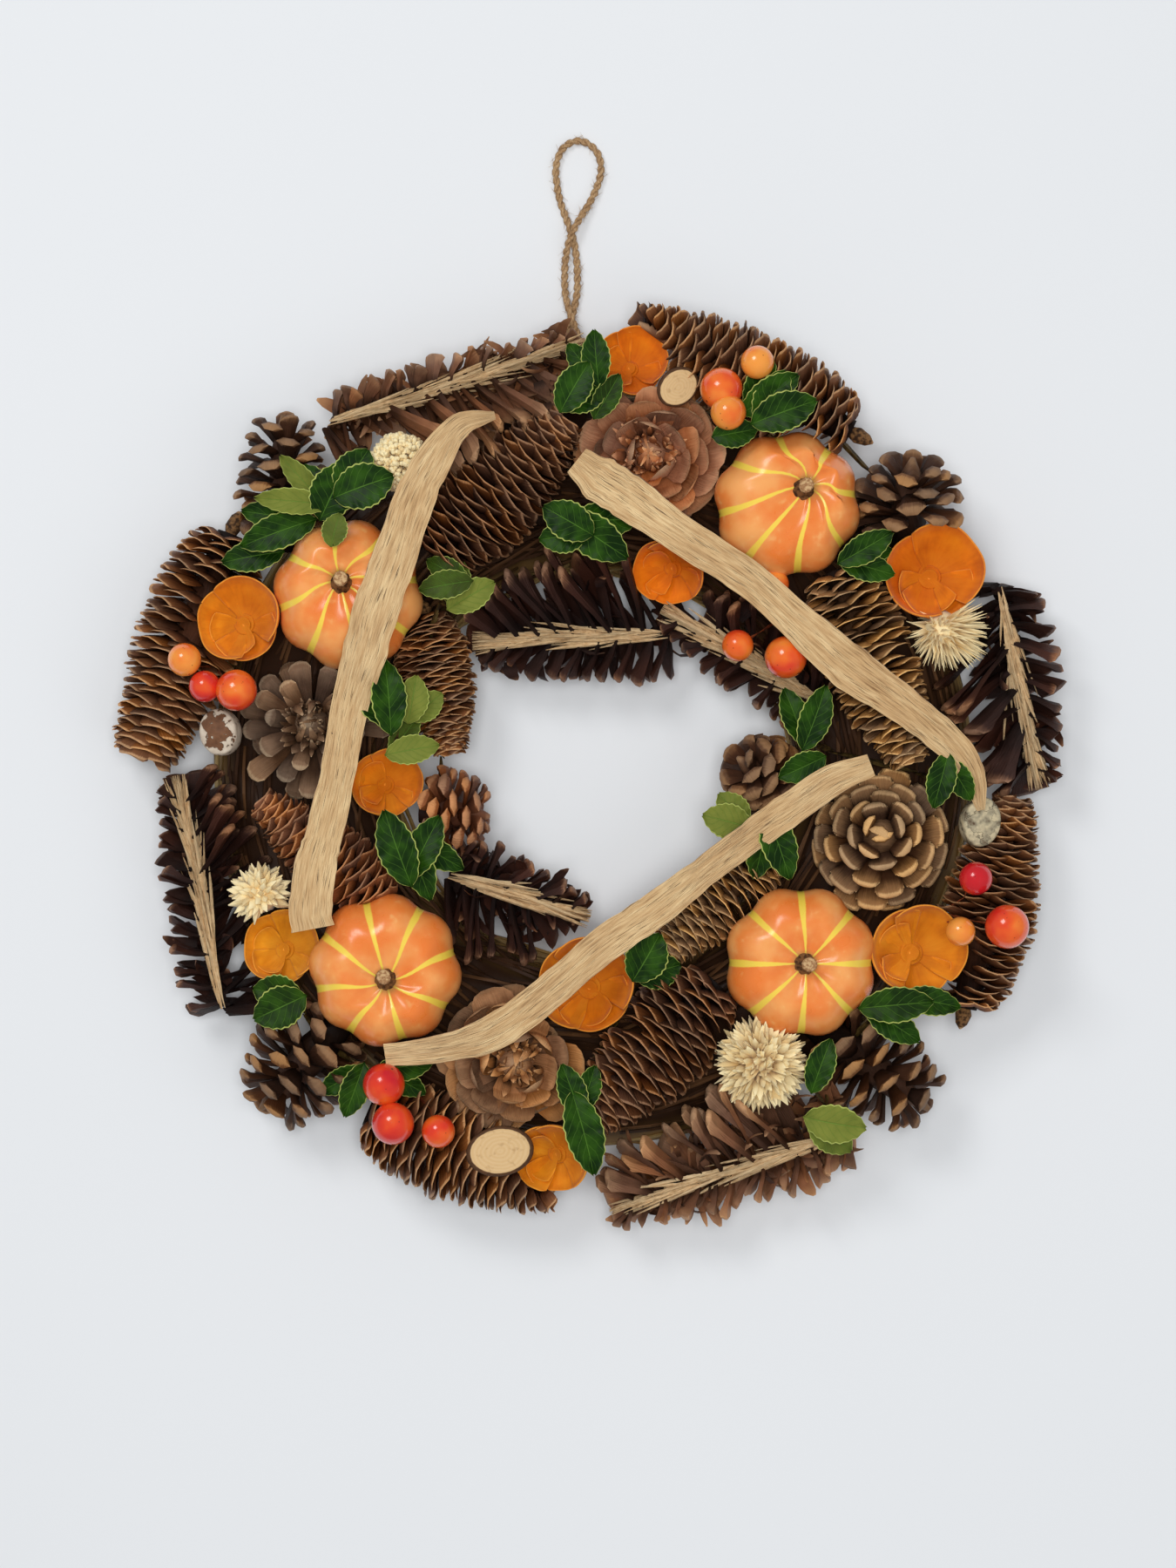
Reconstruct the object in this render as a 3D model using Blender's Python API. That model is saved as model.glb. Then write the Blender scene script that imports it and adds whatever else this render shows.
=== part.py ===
"""Autumn wreath lying face up on its flat back: a straw ring with cones, small pumpkins, berries,
wood-shaving cups, dried heads, toothed leaves and three strips of dried leaf, and a twine loop.

The origin is the centre of the wreath on the surface that it lies on, +Y runs to the twine loop and
+Z to the viewer. All lengths below are in millimetres, and the meshes are made in metres.
"""

import math

import bmesh
import bpy
from mathutils import Matrix, Vector

MM = 0.001
GAP = 0.3  # between neighbouring pieces
GROW = 0.5  # how far a cutter stands out from the piece that it clears
FLOOR = 0.3  # everything but the ring stays this far above the surface

RING_INNER, RING_OUTER, RING_HEIGHT = 76.0, 148.0, 18.0
RING_SIDES = 24
TWINE_RADIUS = 1.5
RIBBON_THICK = 1.0
LEAF_THICK = 0.7
WIRE_RADIUS = 2.0
CUP_THICK, CUP_FOOT = 1.1, 9.0  # the petals, and the foot below them
STEM_RADIUS, STALK_RADIUS, BERRY_STEM_RADIUS = 1.1, 0.75, 0.9
ROOT_RADIUS, JOINT_RADIUS = 1.6, 1.9  # the small balls that close the ends of stems
SHARP_ANGLE = math.radians(35)
FLAT_ANGLE = math.radians(4)  # faces that turn less than this become one

COLOURS = {
    "straw": ((0.62, 0.52, 0.36), 0.95),
    "jute": ((0.55, 0.42, 0.28), 0.9),
    "pumpkin": ((0.93, 0.50, 0.24), 0.35),
    "berry": ((0.90, 0.22, 0.06), 0.25),
    "shaving": ((0.85, 0.38, 0.03), 0.8),
    "cream": ((0.88, 0.76, 0.52), 0.85),
    "slice": ((0.66, 0.52, 0.34), 0.8),
    "pod": ((0.70, 0.62, 0.50), 0.8),
    "dried_leaf": ((0.74, 0.57, 0.36), 0.85),
    "leaf": ((0.06, 0.22, 0.04), 0.5),
    "spruce": ((0.27, 0.15, 0.09), 0.7),
    "pine": ((0.33, 0.19, 0.11), 0.7),
    "sawn": ((0.16, 0.09, 0.07), 0.7),
}

# Whole cones: name, base, tip, greatest radius, kind, roll in degrees.
CONES = [
    ("spruce_cone_top_right", (98, 127, 32), (14, 170, 33), 22, "long", 0),
    ("spruce_cone_top", (-60, 79, 35), (-9, 131, 38), 21, "long", 10),
    ("spruce_cone_right", (91, 74, 34), (121, 1, 34), 21, "long", 5),
    ("spruce_cone_right_outer", (142, -92, 24), (161, -11, 26), 21, "long", 15),
    ("spruce_cone_bottom", (47, -82, 36), (-3, -135, 36), 22, "long", 0),
    ("spruce_cone_inner_bottom", (68, -30, 28), (27, -71, 30), 17, "long", 20),
    ("spruce_cone_bottom_left", (-86, -132, 26), (-12, -163, 26), 22, "long", 8),
    ("spruce_cone_left_outer", (-138.5, 89, 20), (-172.5, 2, 22), 23, "long", 12),
    ("spruce_cone_inner_left", (-64, 58, 26), (-54, 5, 28), 16, "long", 0),
    ("spruce_cone_left", (-78, -52, 33), (-126, -13, 33), 16, "long", 25),
    ("pine_cone_top_left", (-118, 82, 22), (-118, 136, 28), 19, "open", 0),
    ("pine_cone_right_top", (119, 84, 22), (121, 118, 40), 22, "open", 10),
    ("pine_cone_bottom_right", (84, -98, 24), (130, -132, 26), 22, "open", 15),
    ("pine_cone_bottom_left", (-96, -98, 24), (-128, -132, 24), 23, "open", 0),
    ("pine_cone_inner_left", (-66, -17, 24), (-38, -19, 26), 20, "open", 12),
    ("pine_cone_inner_right", (74, -10, 19), (54, 4, 36), 17, "open", 6),
    ("pine_cone_facing", (110, -30, 16), (108, -24, 51), 30, "facing", 0),
    ("rosette_cone_top", (22, 118, 18), (21, 118, 48), 28, "rosette", 0),
    ("rosette_cone_bottom", (-30, -111, 18), (-29, -112, 47), 29, "rosette", 20),
    ("rosette_cone_left", (-106, 14, 18), (-107, 17, 48), 29, "rosette", 10),
]

# Rows, scales in a row, depth of the gaps, lean of the scales to the tip, widest place, bluntness.
CONE_KINDS = {
    "long": (6, 5, 0.30, 0.22, 0.36, 0.34),
    "open": (5, 6, 0.55, 0.25, 0.42, 0.40),
    "facing": (4, 8, 0.42, 0.30, 0.30, 0.26),
    "rosette": (4, 7, 0.45, 0.35, 0.30, 0.40),
}

# Cones sawn lengthwise: name, base and tip of the sawn core, reach of the scales, way that the cut
# side looks (degrees round the core from straight up, plus to its left).
SAWN_CONES = [
    ("sawn_cone_top_left", (-98, 131, 30), (-5, 160, 32), 38, -22),
    ("sawn_cone_inner_top", (27, 51, 26), (-43, 48, 26), 42, -22),
    ("sawn_cone_inner_top_right", (88, 25, 26), (29, 59, 26), 26, -20),
    ("sawn_cone_right", (154.7, 66, 28), (168.7, -6, 26), 37, -16),
    ("sawn_cone_bottom", (95, -139.5, 27), (9, -167.5, 27), 38, -20),
    ("sawn_cone_left", (-141, -90, 25), (-157, -6, 26), 36, -16),
    ("sawn_cone_inner_bottom_left", (-52, -42, 30), (-4, -57, 28), 30, 0),
]

# Cones that touch share a node: its name, the two cones, and the ends of the wire between them.
TOUCHING = {
    "sawn_cones_inner_top": (
        "sawn_cone_inner_top", "sawn_cone_inner_top_right", (22, 52, 21), (34, 58, 22)),
    "cones_inner_bottom": (
        "spruce_cone_bottom", "spruce_cone_inner_bottom", (36, -92, 30), (40, -62, 28)),
    "cones_left": ("rosette_cone_left", "spruce_cone_left", (-106, 8, 26), (-112, -22, 30)),
    "cones_bottom_left": (
        "spruce_cone_bottom_left", "pine_cone_bottom_left", (-80, -134, 22), (-108, -112, 22)),
    "cones_bottom_right": (
        "sawn_cone_bottom", "pine_cone_bottom_right", (82, -138, 22), (100, -112, 22)),
    "cones_top_left": ("sawn_cone_top_left", "pine_cone_top_left", (-88, 126, 24), (-118, 116, 24)),
}

# Pumpkins: name, centre, radius, height, place of the stem from the centre.
PUMPKINS = [
    ("pumpkin_top_right", (73.5, 99), 27.0, 42, (6, 4)),
    ("pumpkin_top_left", (-92.5, 65), 27.5, 42, (-1, 4)),
    ("pumpkin_bottom_left", (-78.5, -77), 28.0, 42, (0, -3)),
    ("pumpkin_bottom_right", (78.5, -74), 28.0, 42, (1, 0)),
]

# Cups of dyed wood shaving: name, centre of the foot, direction that the mouth leans, radius, petals.
CUPS = [
    ("cup_top", (14, 151, 26), (10, 60), 12.0, 2),
    ("cup_inner_top", (31, 76, 26), (-25, -80), 12.5, 2),
    ("cup_right_top", (128, 72, 26), (10, 20), 16.5, 3),
    ("cup_right_bottom", (121, -71, 26), (20, 10), 16.0, 2),
    ("cup_bottom", (-1, -84, 25), (-10, 10), 16.5, 3),
    ("cup_bottom_outer", (-13, -147, 28), (-25, -30), 13.0, 2),
    ("cup_left_bottom", (-117, -70, 24), (-10, 25), 13.0, 2),
    ("cup_left_top", (-132, 54, 28), (-15, 20), 14.5, 3),
    ("cup_inner_left", (-79, -7, 22), (10, 10), 12.0, 2),
]

# Dried heads: name, centre, radius.
HEADS = [
    ("dried_head_top_left", (-73, 115, 40), 11.5),
    ("dried_head_right", (133, 51, 36), 14.0),
    ("dried_head_bottom", (63.5, -112, 38), 17.0),
    ("dried_head_left", (-126, -48, 36), 12.0),
]

# Berry sprays: name, root, berries as (place, radius).
SPRAYS = [
    ("berries_top_right", (54, 134, 24), [
        ((61.5, 151, 56), 6.3), ((48, 141, 57), 8.0), ((50.5, 132, 60), 6.7)]),
    ("berries_inner_right", (74, 58, 22), [
        ((54.5, 45.5, 46), 6.0), ((72.5, 41, 48), 8.0), ((68.5, 69, 40), 5.6)]),
    ("berries_right", (133, -56, 24), [
        ((143.5, -42, 52), 6.3), ((155, -60, 54), 8.3), ((138, -62, 50), 5.6)]),
    ("berries_bottom_left", (-70, -122, 24), [
        ((-78.5, -119.5, 48), 8.0), ((-75, -134, 50), 8.0), ((-58, -137, 49), 6.3)]),
    ("berries_left", (-144, 38, 22), [
        ((-153, 40, 52), 6.3), ((-145.5, 30, 51), 6.0), ((-133.5, 28.5, 53), 7.8)]),
]

# Wood slices and pods: name, centre, half axes, thickness, turn in degrees, lean, colour.
DISCS = [
    ("wood_slice_top", (32, 143, 44), (8.5, 7.0), 3.0, 40, (0.15, 0.2), "slice"),
    ("wood_slice_bottom", (-35, -145, 43), (13.0, 9.5), 4.0, 8, (0.05, -0.1), "slice"),
    ("pod_right", (146.5, -21, 36), (7.5, 9.5), 8.0, -10, (0.2, 0.0), "pod"),
    ("pod_left", (-141, 13, 34), (7.5, 9.0), 9.0, 10, (-0.2, 0.0), "pod"),
]

# Strips of dried leaf: name, centre line as (x, y, z, width).
RIBBONS = [
    ("dried_strip_left", [
        (-36.5, 131, 58.5, 3), (-50, 127, 58.5, 10), (-60.5, 112.5, 58, 14), (-67, 99, 57, 15),
        (-73.5, 79, 59.5, 16), (-80.5, 59.5, 60.2, 17), (-85.5, 41.5, 57.8, 17),
        (-91, 23.5, 50.5, 14), (-96, -3.5, 49, 13), (-101, -26, 49.5, 14), (-104, -37, 49.5, 15.5),
        (-106, -54, 50, 17), (-105, -61, 50, 16)]),
    ("dried_strip_top_right", [
        (-6, 114.5, 54, 11), (3, 107.5, 53, 17), (12.5, 101.5, 52, 17), (33.5, 86.5, 52.5, 14),
        (58.5, 70, 55, 14), (75.5, 55, 56, 14), (96, 37, 55.5, 17), (119, 21, 53, 13.5),
        (138, 5, 46, 12), (144, -6, 43, 9), (146.5, -16.5, 42, 3)]),
    ("dried_strip_bottom", [
        (104, 0.5, 56.5, 8), (89, -5.5, 55.5, 13), (74, -16, 53, 13), (59, -26.5, 52, 12),
        (41, -40, 51, 12), (24.5, -53, 51, 13), (3, -68, 52, 14), (-20.5, -88, 53, 13),
        (-39, -100.5, 53, 14), (-58, -106, 51, 11), (-78, -108.5, 47, 8)]),
]

# Leafy sprays: name, stem points, leaves as (place of the middle, heading in degrees, length, width).
LEAVES = [
    ("leaves_top_left", [(-92, 100, 17.6), (-98, 102, 38), (-112, 95, 38)], [
        (-86, 104.5, 53, 20, 22, 14), (-97.5, 103, 49, 65, 22, 14), (-112, 99.5, 48, 175, 27, 8),
        (-118, 88, 44, 200, 28, 11), (-128, 79, 40, 190, 22, 10), (-96, 88, 59, 75, 12, 8)]),
    ("leaves_top", [(-2, 146, 21), (-3, 140, 40), (1, 132, 22), (0, 104, 20), (-2, 93, 34)], [
        (-7, 142, 50, 60, 20, 11), (1.5, 153, 48, 95, 20, 9), (5, 139, 46, 60, 18, 8),
        (-9, 92, 50, 150, 20, 12), (1, 87, 46, 325, 27, 13)]),
    ("leaves_inner_left", [(-52, 70, 20), (-58, 62, 40), (-66, 38, 22), (-70, 24, 40), (-58, 4, 22),
                           (-58, -18, 22), (-68, -30, 38)], [
        (-55, 68, 47, 190, 19, 9), (-46, 64, 44, 30, 19, 10), (-77, 25.5, 51, 95, 26, 11),
        (-68, 25, 46, 80, 17, 10), (-68, 6, 47, 10, 19, 9), (-73, -31, 48, 110, 28, 12),
        (-66, -37, 42, 290, 26, 10)]),
    ("leaves_top_right", [(58, 131, 44), (72, 133, 44), (92, 127, 22), (106, 112, 22), (106, 96, 22),
                          (102, 80, 36)], [
        (66, 139, 54, 35, 24, 10), (71, 132, 58, 20, 24, 12), (53, 125, 52, 10, 16, 9),
        (102, 82, 48, 30, 22, 9), (103, 75, 43, 345, 20, 9)]),
    ("leaves_right", [(132, -6, 38), (124, -2, 20), (92, 6, 22), (84, 9, 38), (76, -12, 24),
                      (68, -24, 38)], [
        (131, -5, 46, 255, 20, 9), (83, 18, 46, 70, 24, 10), (79, 0, 44, 205, 18, 9),
        (51, -21, 41, 165, 18, 11), (69, -29, 47, 290, 26, 11)]),
    ("leaves_bottom_right", [(112, -97, 20), (107, -94, 36), (92, -110, 22), (88, -128, 34)], [
        (114, -90, 42, 5, 26, 11), (127, -89, 38, 350, 22, 9), (91, -134, 43, 350, 22, 12),
        (86, -113, 44, 70, 20, 9)]),
    ("leaves_bottom", [(18, -80, 22), (12, -92, 20), (2, -108, 20), (-4, -122, 36)], [
        (20, -72, 45, 60, 19, 13), (-8, -122, 51, 110, 20, 9), (-4, -137, 52, 285, 30, 12)]),
    ("leaves_bottom_left", [(-84, -116, 30), (-92, -113, 21), (-104, -102, 24), (-109, -94, 32)], [
        (-90, -122, 38, 250, 20, 9), (-71, -113, 38, 10, 20, 9), (-118, -91, 38, 205, 20, 13)]),
]

# The twine loop, from its first end on the ring round to its second end. The strands cross twice
# below the eye, one over the other, and lie on the surface elsewhere.
TWINE_ROUTE = [
    (-10.4, 144.5, 20.0), (-10.5, 150.5, 17.0), (-10.6, 153.5, 10.0), (-10.6, 158.0, 3.8),
    (-10.0, 163.5, 2.0), (-9.4, 168.5, 1.9), (-8.3, 173.5, 1.9), (-6.9, 178.5, 1.9),
    (-6.0, 184.0, 1.9), (-5.9, 190.0, 1.9), (-6.2, 196.0, 1.9), (-7.0, 202.0, 1.9),
    (-8.6, 207.6, 1.9), (-10.6, 213.0, 1.9), (-12.6, 219.0, 1.9), (-13.8, 225.5, 1.9),
    (-14.2, 232.0, 1.9), (-12.0, 238.6, 1.9), (-7.0, 242.0, 1.9), (-1.6, 241.0, 1.9),
    (2.4, 236.4, 1.9), (3.2, 230.0, 1.9), (1.4, 223.6, 2.0), (-1.6, 217.4, 2.6),
    (-4.6, 212.4, 4.2), (-7.2, 207.6, 5.4), (-9.2, 202.6, 5.2), (-10.4, 197.0, 3.0),
    (-10.8, 191.0, 2.0), (-10.7, 185.0, 2.4), (-9.9, 179.5, 4.3), (-8.3, 174.0, 5.3),
    (-6.4, 168.5, 4.8), (-5.0, 163.5, 3.0), (-4.2, 158.0, 3.8), (-4.2, 153.5, 10.0),
    (-4.4, 150.5, 17.0), (-4.6, 144.5, 20.0),
]


def clear_scene():
    for old in list(bpy.data.objects):
        bpy.data.objects.remove(old)


def material(name):
    if name in bpy.data.materials:
        return bpy.data.materials[name]
    colour, roughness = COLOURS[name]
    made = bpy.data.materials.new(name)
    made.use_nodes = True
    shader = made.node_tree.nodes["Principled BSDF"]
    shader.inputs["Base Color"].default_value = (*colour, 1.0)
    shader.inputs["Roughness"].default_value = roughness
    shader.inputs["Metallic"].default_value = 0.0
    return made


def new_object(name, mesh, colour=None):
    made = bpy.data.objects.new(name, mesh)
    bpy.context.scene.collection.objects.link(made)
    if colour:
        mesh.materials.append(material(colour))
    return made


def mesh_object(name, points, faces, colour=None, place=None):
    """An object from points in millimetres, its faces turned outwards."""
    mesh = bpy.data.meshes.new(name)
    mesh.from_pydata([Vector(p) * MM for p in points], [], faces)
    shape = bmesh.new()
    shape.from_mesh(mesh)
    bmesh.ops.recalc_face_normals(shape, faces=shape.faces)
    if shape.calc_volume(signed=True) < 0:
        bmesh.ops.reverse_faces(shape, faces=shape.faces)
    bmesh.ops.triangulate(shape, faces=[f for f in shape.faces if len(f.verts) > 3])
    shape.to_mesh(mesh)
    shape.free()
    made = new_object(name, mesh, colour)
    if place:
        made.matrix_world = place
    return made


def remove(obj):
    mesh = obj.data
    bpy.data.objects.remove(obj)
    bpy.data.meshes.remove(mesh)


def axis_place(base, tip, roll=0.0):
    """The matrix, in metres, that takes local +Z along the line from base to tip."""
    base, tip = Vector(base), Vector(tip)
    z = (tip - base).normalized()
    side = Vector((0, 0, 1)) if abs(z.z) < 0.9 else Vector((0, 1, 0))
    x = side.cross(z).normalized()
    y = z.cross(x)
    turn = Matrix((x, y, z)).transposed().to_4x4() @ Matrix.Rotation(math.radians(roll), 4, "Z")
    return Matrix.Translation(base * MM) @ turn


def ring_faces(rings, count, closed=True):
    """Quads between rings of count points, and the two end caps."""
    faces = []
    turns = count if closed else count - 1
    for i in range(rings - 1):
        for k in range(turns):
            a, b = i * count + k, i * count + (k + 1) % count
            faces.append((a, b, b + count, a + count))
    faces.append(tuple(reversed(range(count))))
    faces.append(tuple((rings - 1) * count + k for k in range(count)))
    return faces


def apply_boolean(target, operation, others):
    """One Boolean with a collection of others, applied; the others are then removed."""
    held = bpy.data.collections.new("held")
    bpy.context.scene.collection.children.link(held)
    for other in others:
        held.objects.link(other)
    step = target.modifiers.new("join", "BOOLEAN")
    step.operation = operation
    step.operand_type = "COLLECTION"
    step.collection = held
    step.solver = "MANIFOLD"
    graph = bpy.context.evaluated_depsgraph_get()
    result = bpy.data.meshes.new_from_object(target.evaluated_get(graph))
    old = target.data
    target.modifiers.clear()
    target.data = result
    bpy.data.meshes.remove(old)
    for other in others:
        remove(other)
    bpy.data.collections.remove(held)


def islands(shape):
    """The groups of joined faces of a bmesh."""
    left = set(shape.faces)
    while left:
        group, todo = set(), [left.pop()]
        while todo:
            face = todo.pop()
            group.add(face)
            for edge in face.edges:
                for other in edge.link_faces:
                    if other in left:
                        left.discard(other)
                        todo.append(other)
        yield group


def signed_volume(group):
    total = 0.0
    for face in group:
        a = face.verts[0].co
        for b, c in zip(face.verts[1:-1], face.verts[2:]):
            total += a.dot(b.co.cross(c.co)) / 6
    return total


def keep_largest(obj):
    """Drops loose scraps and sealed hollows, and joins faces that lie almost flat to each other."""
    shape = bmesh.new()
    shape.from_mesh(obj.data)
    groups = sorted(islands(shape), key=signed_volume)
    scraps = [face for group in groups[:-1] for face in group]
    bmesh.ops.delete(shape, geom=scraps, context="FACES")
    bmesh.ops.dissolve_limit(shape, angle_limit=FLAT_ANGLE, verts=shape.verts, edges=shape.edges)
    bmesh.ops.triangulate(shape, faces=shape.faces)
    shape.to_mesh(obj.data)
    shape.free()


def hull_cutter(points):
    """A hidden convex solid round these points, which are in millimetres."""
    shape = bmesh.new()
    for p in points:
        shape.verts.new(Vector(p) * MM)
    bmesh.ops.convex_hull(shape, input=shape.verts)
    bmesh.ops.delete(shape, geom=[v for v in shape.verts if not v.link_faces], context="VERTS")
    bmesh.ops.triangulate(shape, faces=shape.faces)
    mesh = bpy.data.meshes.new("cutter")
    shape.to_mesh(mesh)
    shape.free()
    return hidden(new_object("cutter", mesh))


def hidden(cutter):
    cutter.hide_render = True
    cutter.display_type = "WIRE"
    return cutter


def grown(points, by=GROW):
    """The points moved away from their middle."""
    middle = sum((Vector(p) for p in points), Vector()) / len(points)
    return [Vector(p) + (Vector(p) - middle).normalized() * by for p in points]


def circle_points(place, radius, z, count):
    """Points of a circle about the local Z axis of place, in millimetres in the world."""
    turned = place.to_3x3()
    start = place.translation / MM
    for k in range(count):
        turn = math.tau * k / count
        yield start + turned @ Vector((radius * math.cos(turn), radius * math.sin(turn), z))


def rod_hull(start, end, radius):
    place, length = axis_place(start, end), (Vector(end) - Vector(start)).length
    wide = (radius + GAP) * 1.42
    return [p for z in (-GAP, length + GAP) for p in circle_points(place, wide, z, 4)]


def ball_hull(centre, radius):
    place, wide = Matrix.Translation(Vector(centre) * MM), radius + GAP
    return [p for share, z in ((0.5, -1.0), (1.0, -0.4), (1.0, 0.4), (0.5, 1.0))
            for p in circle_points(place, wide * share * 1.12, wide * z, 6)]


def cube_hull(centre, half):
    reach = Vector((half, half, half)) + Vector((GAP, GAP, GAP))
    return box_points(Vector(centre) - reach, Vector(centre) + reach)


def world_points(obj):
    return [(obj.matrix_world @ v.co) / MM for v in obj.data.vertices]


def bounds(points):
    return [min(p[k] for p in points) for k in range(3)], [max(p[k] for p in points) for k in range(3)]


class Packing:
    """What is already placed. Each new piece is cut clear of the spaces of the pieces before it."""

    def __init__(self):
        self.spaces = []

    def add(self, spaces):
        """Keeps spaces: each is (points, faces) of a closed solid, or the points of a convex one."""
        for space in spaces:
            points = space[0] if isinstance(space, tuple) else space
            self.spaces.append((space, *bounds(points)))

    def clear(self, obj):
        """Cuts obj clear of every space that its box meets, and of the surface below."""
        low, high = bounds(world_points(obj))
        near = [space for space, a, b in self.spaces
                if all(a[k] < high[k] and b[k] > low[k] for k in range(3))]
        if low[2] < FLOOR:
            below = (low[0] - 5, low[1] - 5, low[2] - 5), (high[0] + 5, high[1] + 5, FLOOR)
            near.append(box_points(*below))
        cutters = [hidden(mesh_object("cutter", *space)) if isinstance(space, tuple)
                   else hull_cutter(space) for space in near]
        if cutters:
            apply_boolean(obj, "DIFFERENCE", cutters)
        keep_largest(obj)


def box_points(low, high):
    (x0, y0, z0), (x1, y1, z1) = low, high
    return [(x, y, z) for x in (x0, x1) for y in (y0, y1) for z in (z0, z1)]


def ring_section(room):
    """The straw ring's cross-section as (radius, height), with room added all round."""
    middle, half = (RING_INNER + RING_OUTER) / 2, (RING_OUTER - RING_INNER) / 2 + room
    points = [(middle - half + 4, -room), (middle + half - 4, -room)]
    for degrees in (8, 45, 75, 105, 135, 172):
        turn = math.radians(degrees)
        points.append((middle + half * math.copysign(abs(math.cos(turn)) ** 0.6, math.cos(turn)),
                       (RING_HEIGHT + room) * math.sin(turn) ** 0.6))
    return points


def ring_solid(room=0.0):
    section = ring_section(room)
    points, faces, count = [], [], len(section)
    for i in range(RING_SIDES):
        turn = math.tau * i / RING_SIDES
        points += [(r * math.cos(turn), r * math.sin(turn), z) for r, z in section]
        for k in range(count):
            a, b = i * count + k, i * count + (k + 1) % count
            step = count if i < RING_SIDES - 1 else -i * count
            faces.append((a, b, b + step, a + step))
    return points, faces


def make_twine():
    curve = bpy.data.curves.new("hanging_twine", "CURVE")
    curve.dimensions = "3D"
    curve.bevel_depth = TWINE_RADIUS * MM
    curve.bevel_resolution = 2
    curve.use_fill_caps = True
    spline = curve.splines.new("POLY")
    spline.points.add(len(TWINE_ROUTE) - 1)
    for point, place in zip(spline.points, TWINE_ROUTE):
        point.co = (*(Vector(place) * MM), 1.0)
    curve.materials.append(material("jute"))
    made = bpy.data.objects.new("hanging_twine", curve)
    bpy.context.scene.collection.objects.link(made)
    return made


def twine_hulls():
    """Short straight lengths of the twine."""
    return [rod_hull(a, b, TWINE_RADIUS) for a, b in zip(TWINE_ROUTE, TWINE_ROUTE[1:])]


def make_pumpkin(name, centre, radius, height, stem_at):
    """A ribbed, flattened ball with a dimple round the woody stem."""
    lobes, around, rings = 8, 24, 6
    foot = RING_HEIGHT + GAP + 0.4
    rows = []
    for i in range(rings + 1):
        t = math.pi * (0.07 + 0.86 * i / rings)
        out, up = math.sin(t) ** 0.75, -math.cos(t)
        up = up - 0.14 * math.copysign(max(0.0, 1 - out * 1.7), up)
        row = []
        for k in range(around):
            turn = math.tau * k / around
            rib = 1 - 0.07 * (k % (around // lobes) == 0) * out
            lean = max(0.0, up) * (1 - out)
            row.append((
                centre[0] + radius * out * rib * math.cos(turn) + stem_at[0] * lean,
                centre[1] + radius * out * rib * math.sin(turn) + stem_at[1] * lean,
                foot + height * (0.43 + 0.5 * up),
            ))
        rows.append(row)
    body = mesh_object(name, [p for row in rows for p in row], ring_faces(len(rows), around), "pumpkin")
    top = foot + height * 0.80
    stem_place = (centre[0] + stem_at[0], centre[1] + stem_at[1], top)
    stem = mesh_object(name + "_stem", [
        (r * math.cos(math.tau * k / 6), r * math.sin(math.tau * k / 6), z)
        for r, z in ((4.5, -4), (3.4, 2), (3.0, 6.5)) for k in range(6)
    ], ring_faces(3, 6), place=Matrix.Translation(Vector(stem_place) * MM))
    apply_boolean(body, "UNION", [stem])
    place = Matrix.Translation(Vector((centre[0], centre[1], foot)) * MM)
    hull = [p for share, z in ((0.72, 0.0), (1.04, 0.26), (1.04, 0.64), (0.66, 0.93))
            for p in circle_points(place, radius * share + GROW, height * z, 10)]
    return body, [hull]


def ball_mesh(name, centre, radius, colour=None, around=8, rings=4):
    points, faces = [(0, 0, -radius)], []
    for i in range(1, rings):
        t = math.pi * i / rings
        points += [(radius * math.sin(t) * math.cos(math.tau * k / around),
                    radius * math.sin(t) * math.sin(math.tau * k / around),
                    -radius * math.cos(t)) for k in range(around)]
    points.append((0, 0, radius))
    last = len(points) - 1
    for k in range(around):
        n = (k + 1) % around
        faces.append((0, 1 + n, 1 + k))
        faces.append((last, last - around + k, last - around + n))
        for i in range(rings - 2):
            a, b = 1 + i * around + k, 1 + i * around + n
            faces.append((a, b, b + around, a + around))
    return mesh_object(name, points, faces, colour, Matrix.Translation(Vector(centre) * MM))


def rod_mesh(name, start, end, radius, sides=3):
    length = (Vector(end) - Vector(start)).length
    points = [(radius * math.cos(math.tau * k / sides), radius * math.sin(math.tau * k / sides), z)
              for z in (0, length) for k in range(sides)]
    return mesh_object(name, points, ring_faces(2, sides), place=axis_place(start, end))


def make_spray(name, root, berries):
    """Glossy berries on thin stems that meet at one root."""
    first = ball_mesh(name, root, ROOT_RADIUS, "berry", 5, 3)
    parts, hulls = [], [cube_hull(root, ROOT_RADIUS)]
    for place, radius in berries:
        parts.append(ball_mesh(name, place, radius))
        end = Vector(place) - (Vector(place) - Vector(root)).normalized() * radius * 0.5
        parts.append(rod_mesh(name, root, end, BERRY_STEM_RADIUS))
        hulls += [ball_hull(place, radius), rod_hull(root, end, BERRY_STEM_RADIUS)]
    apply_boolean(first, "UNION", parts)
    return first, hulls


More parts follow.
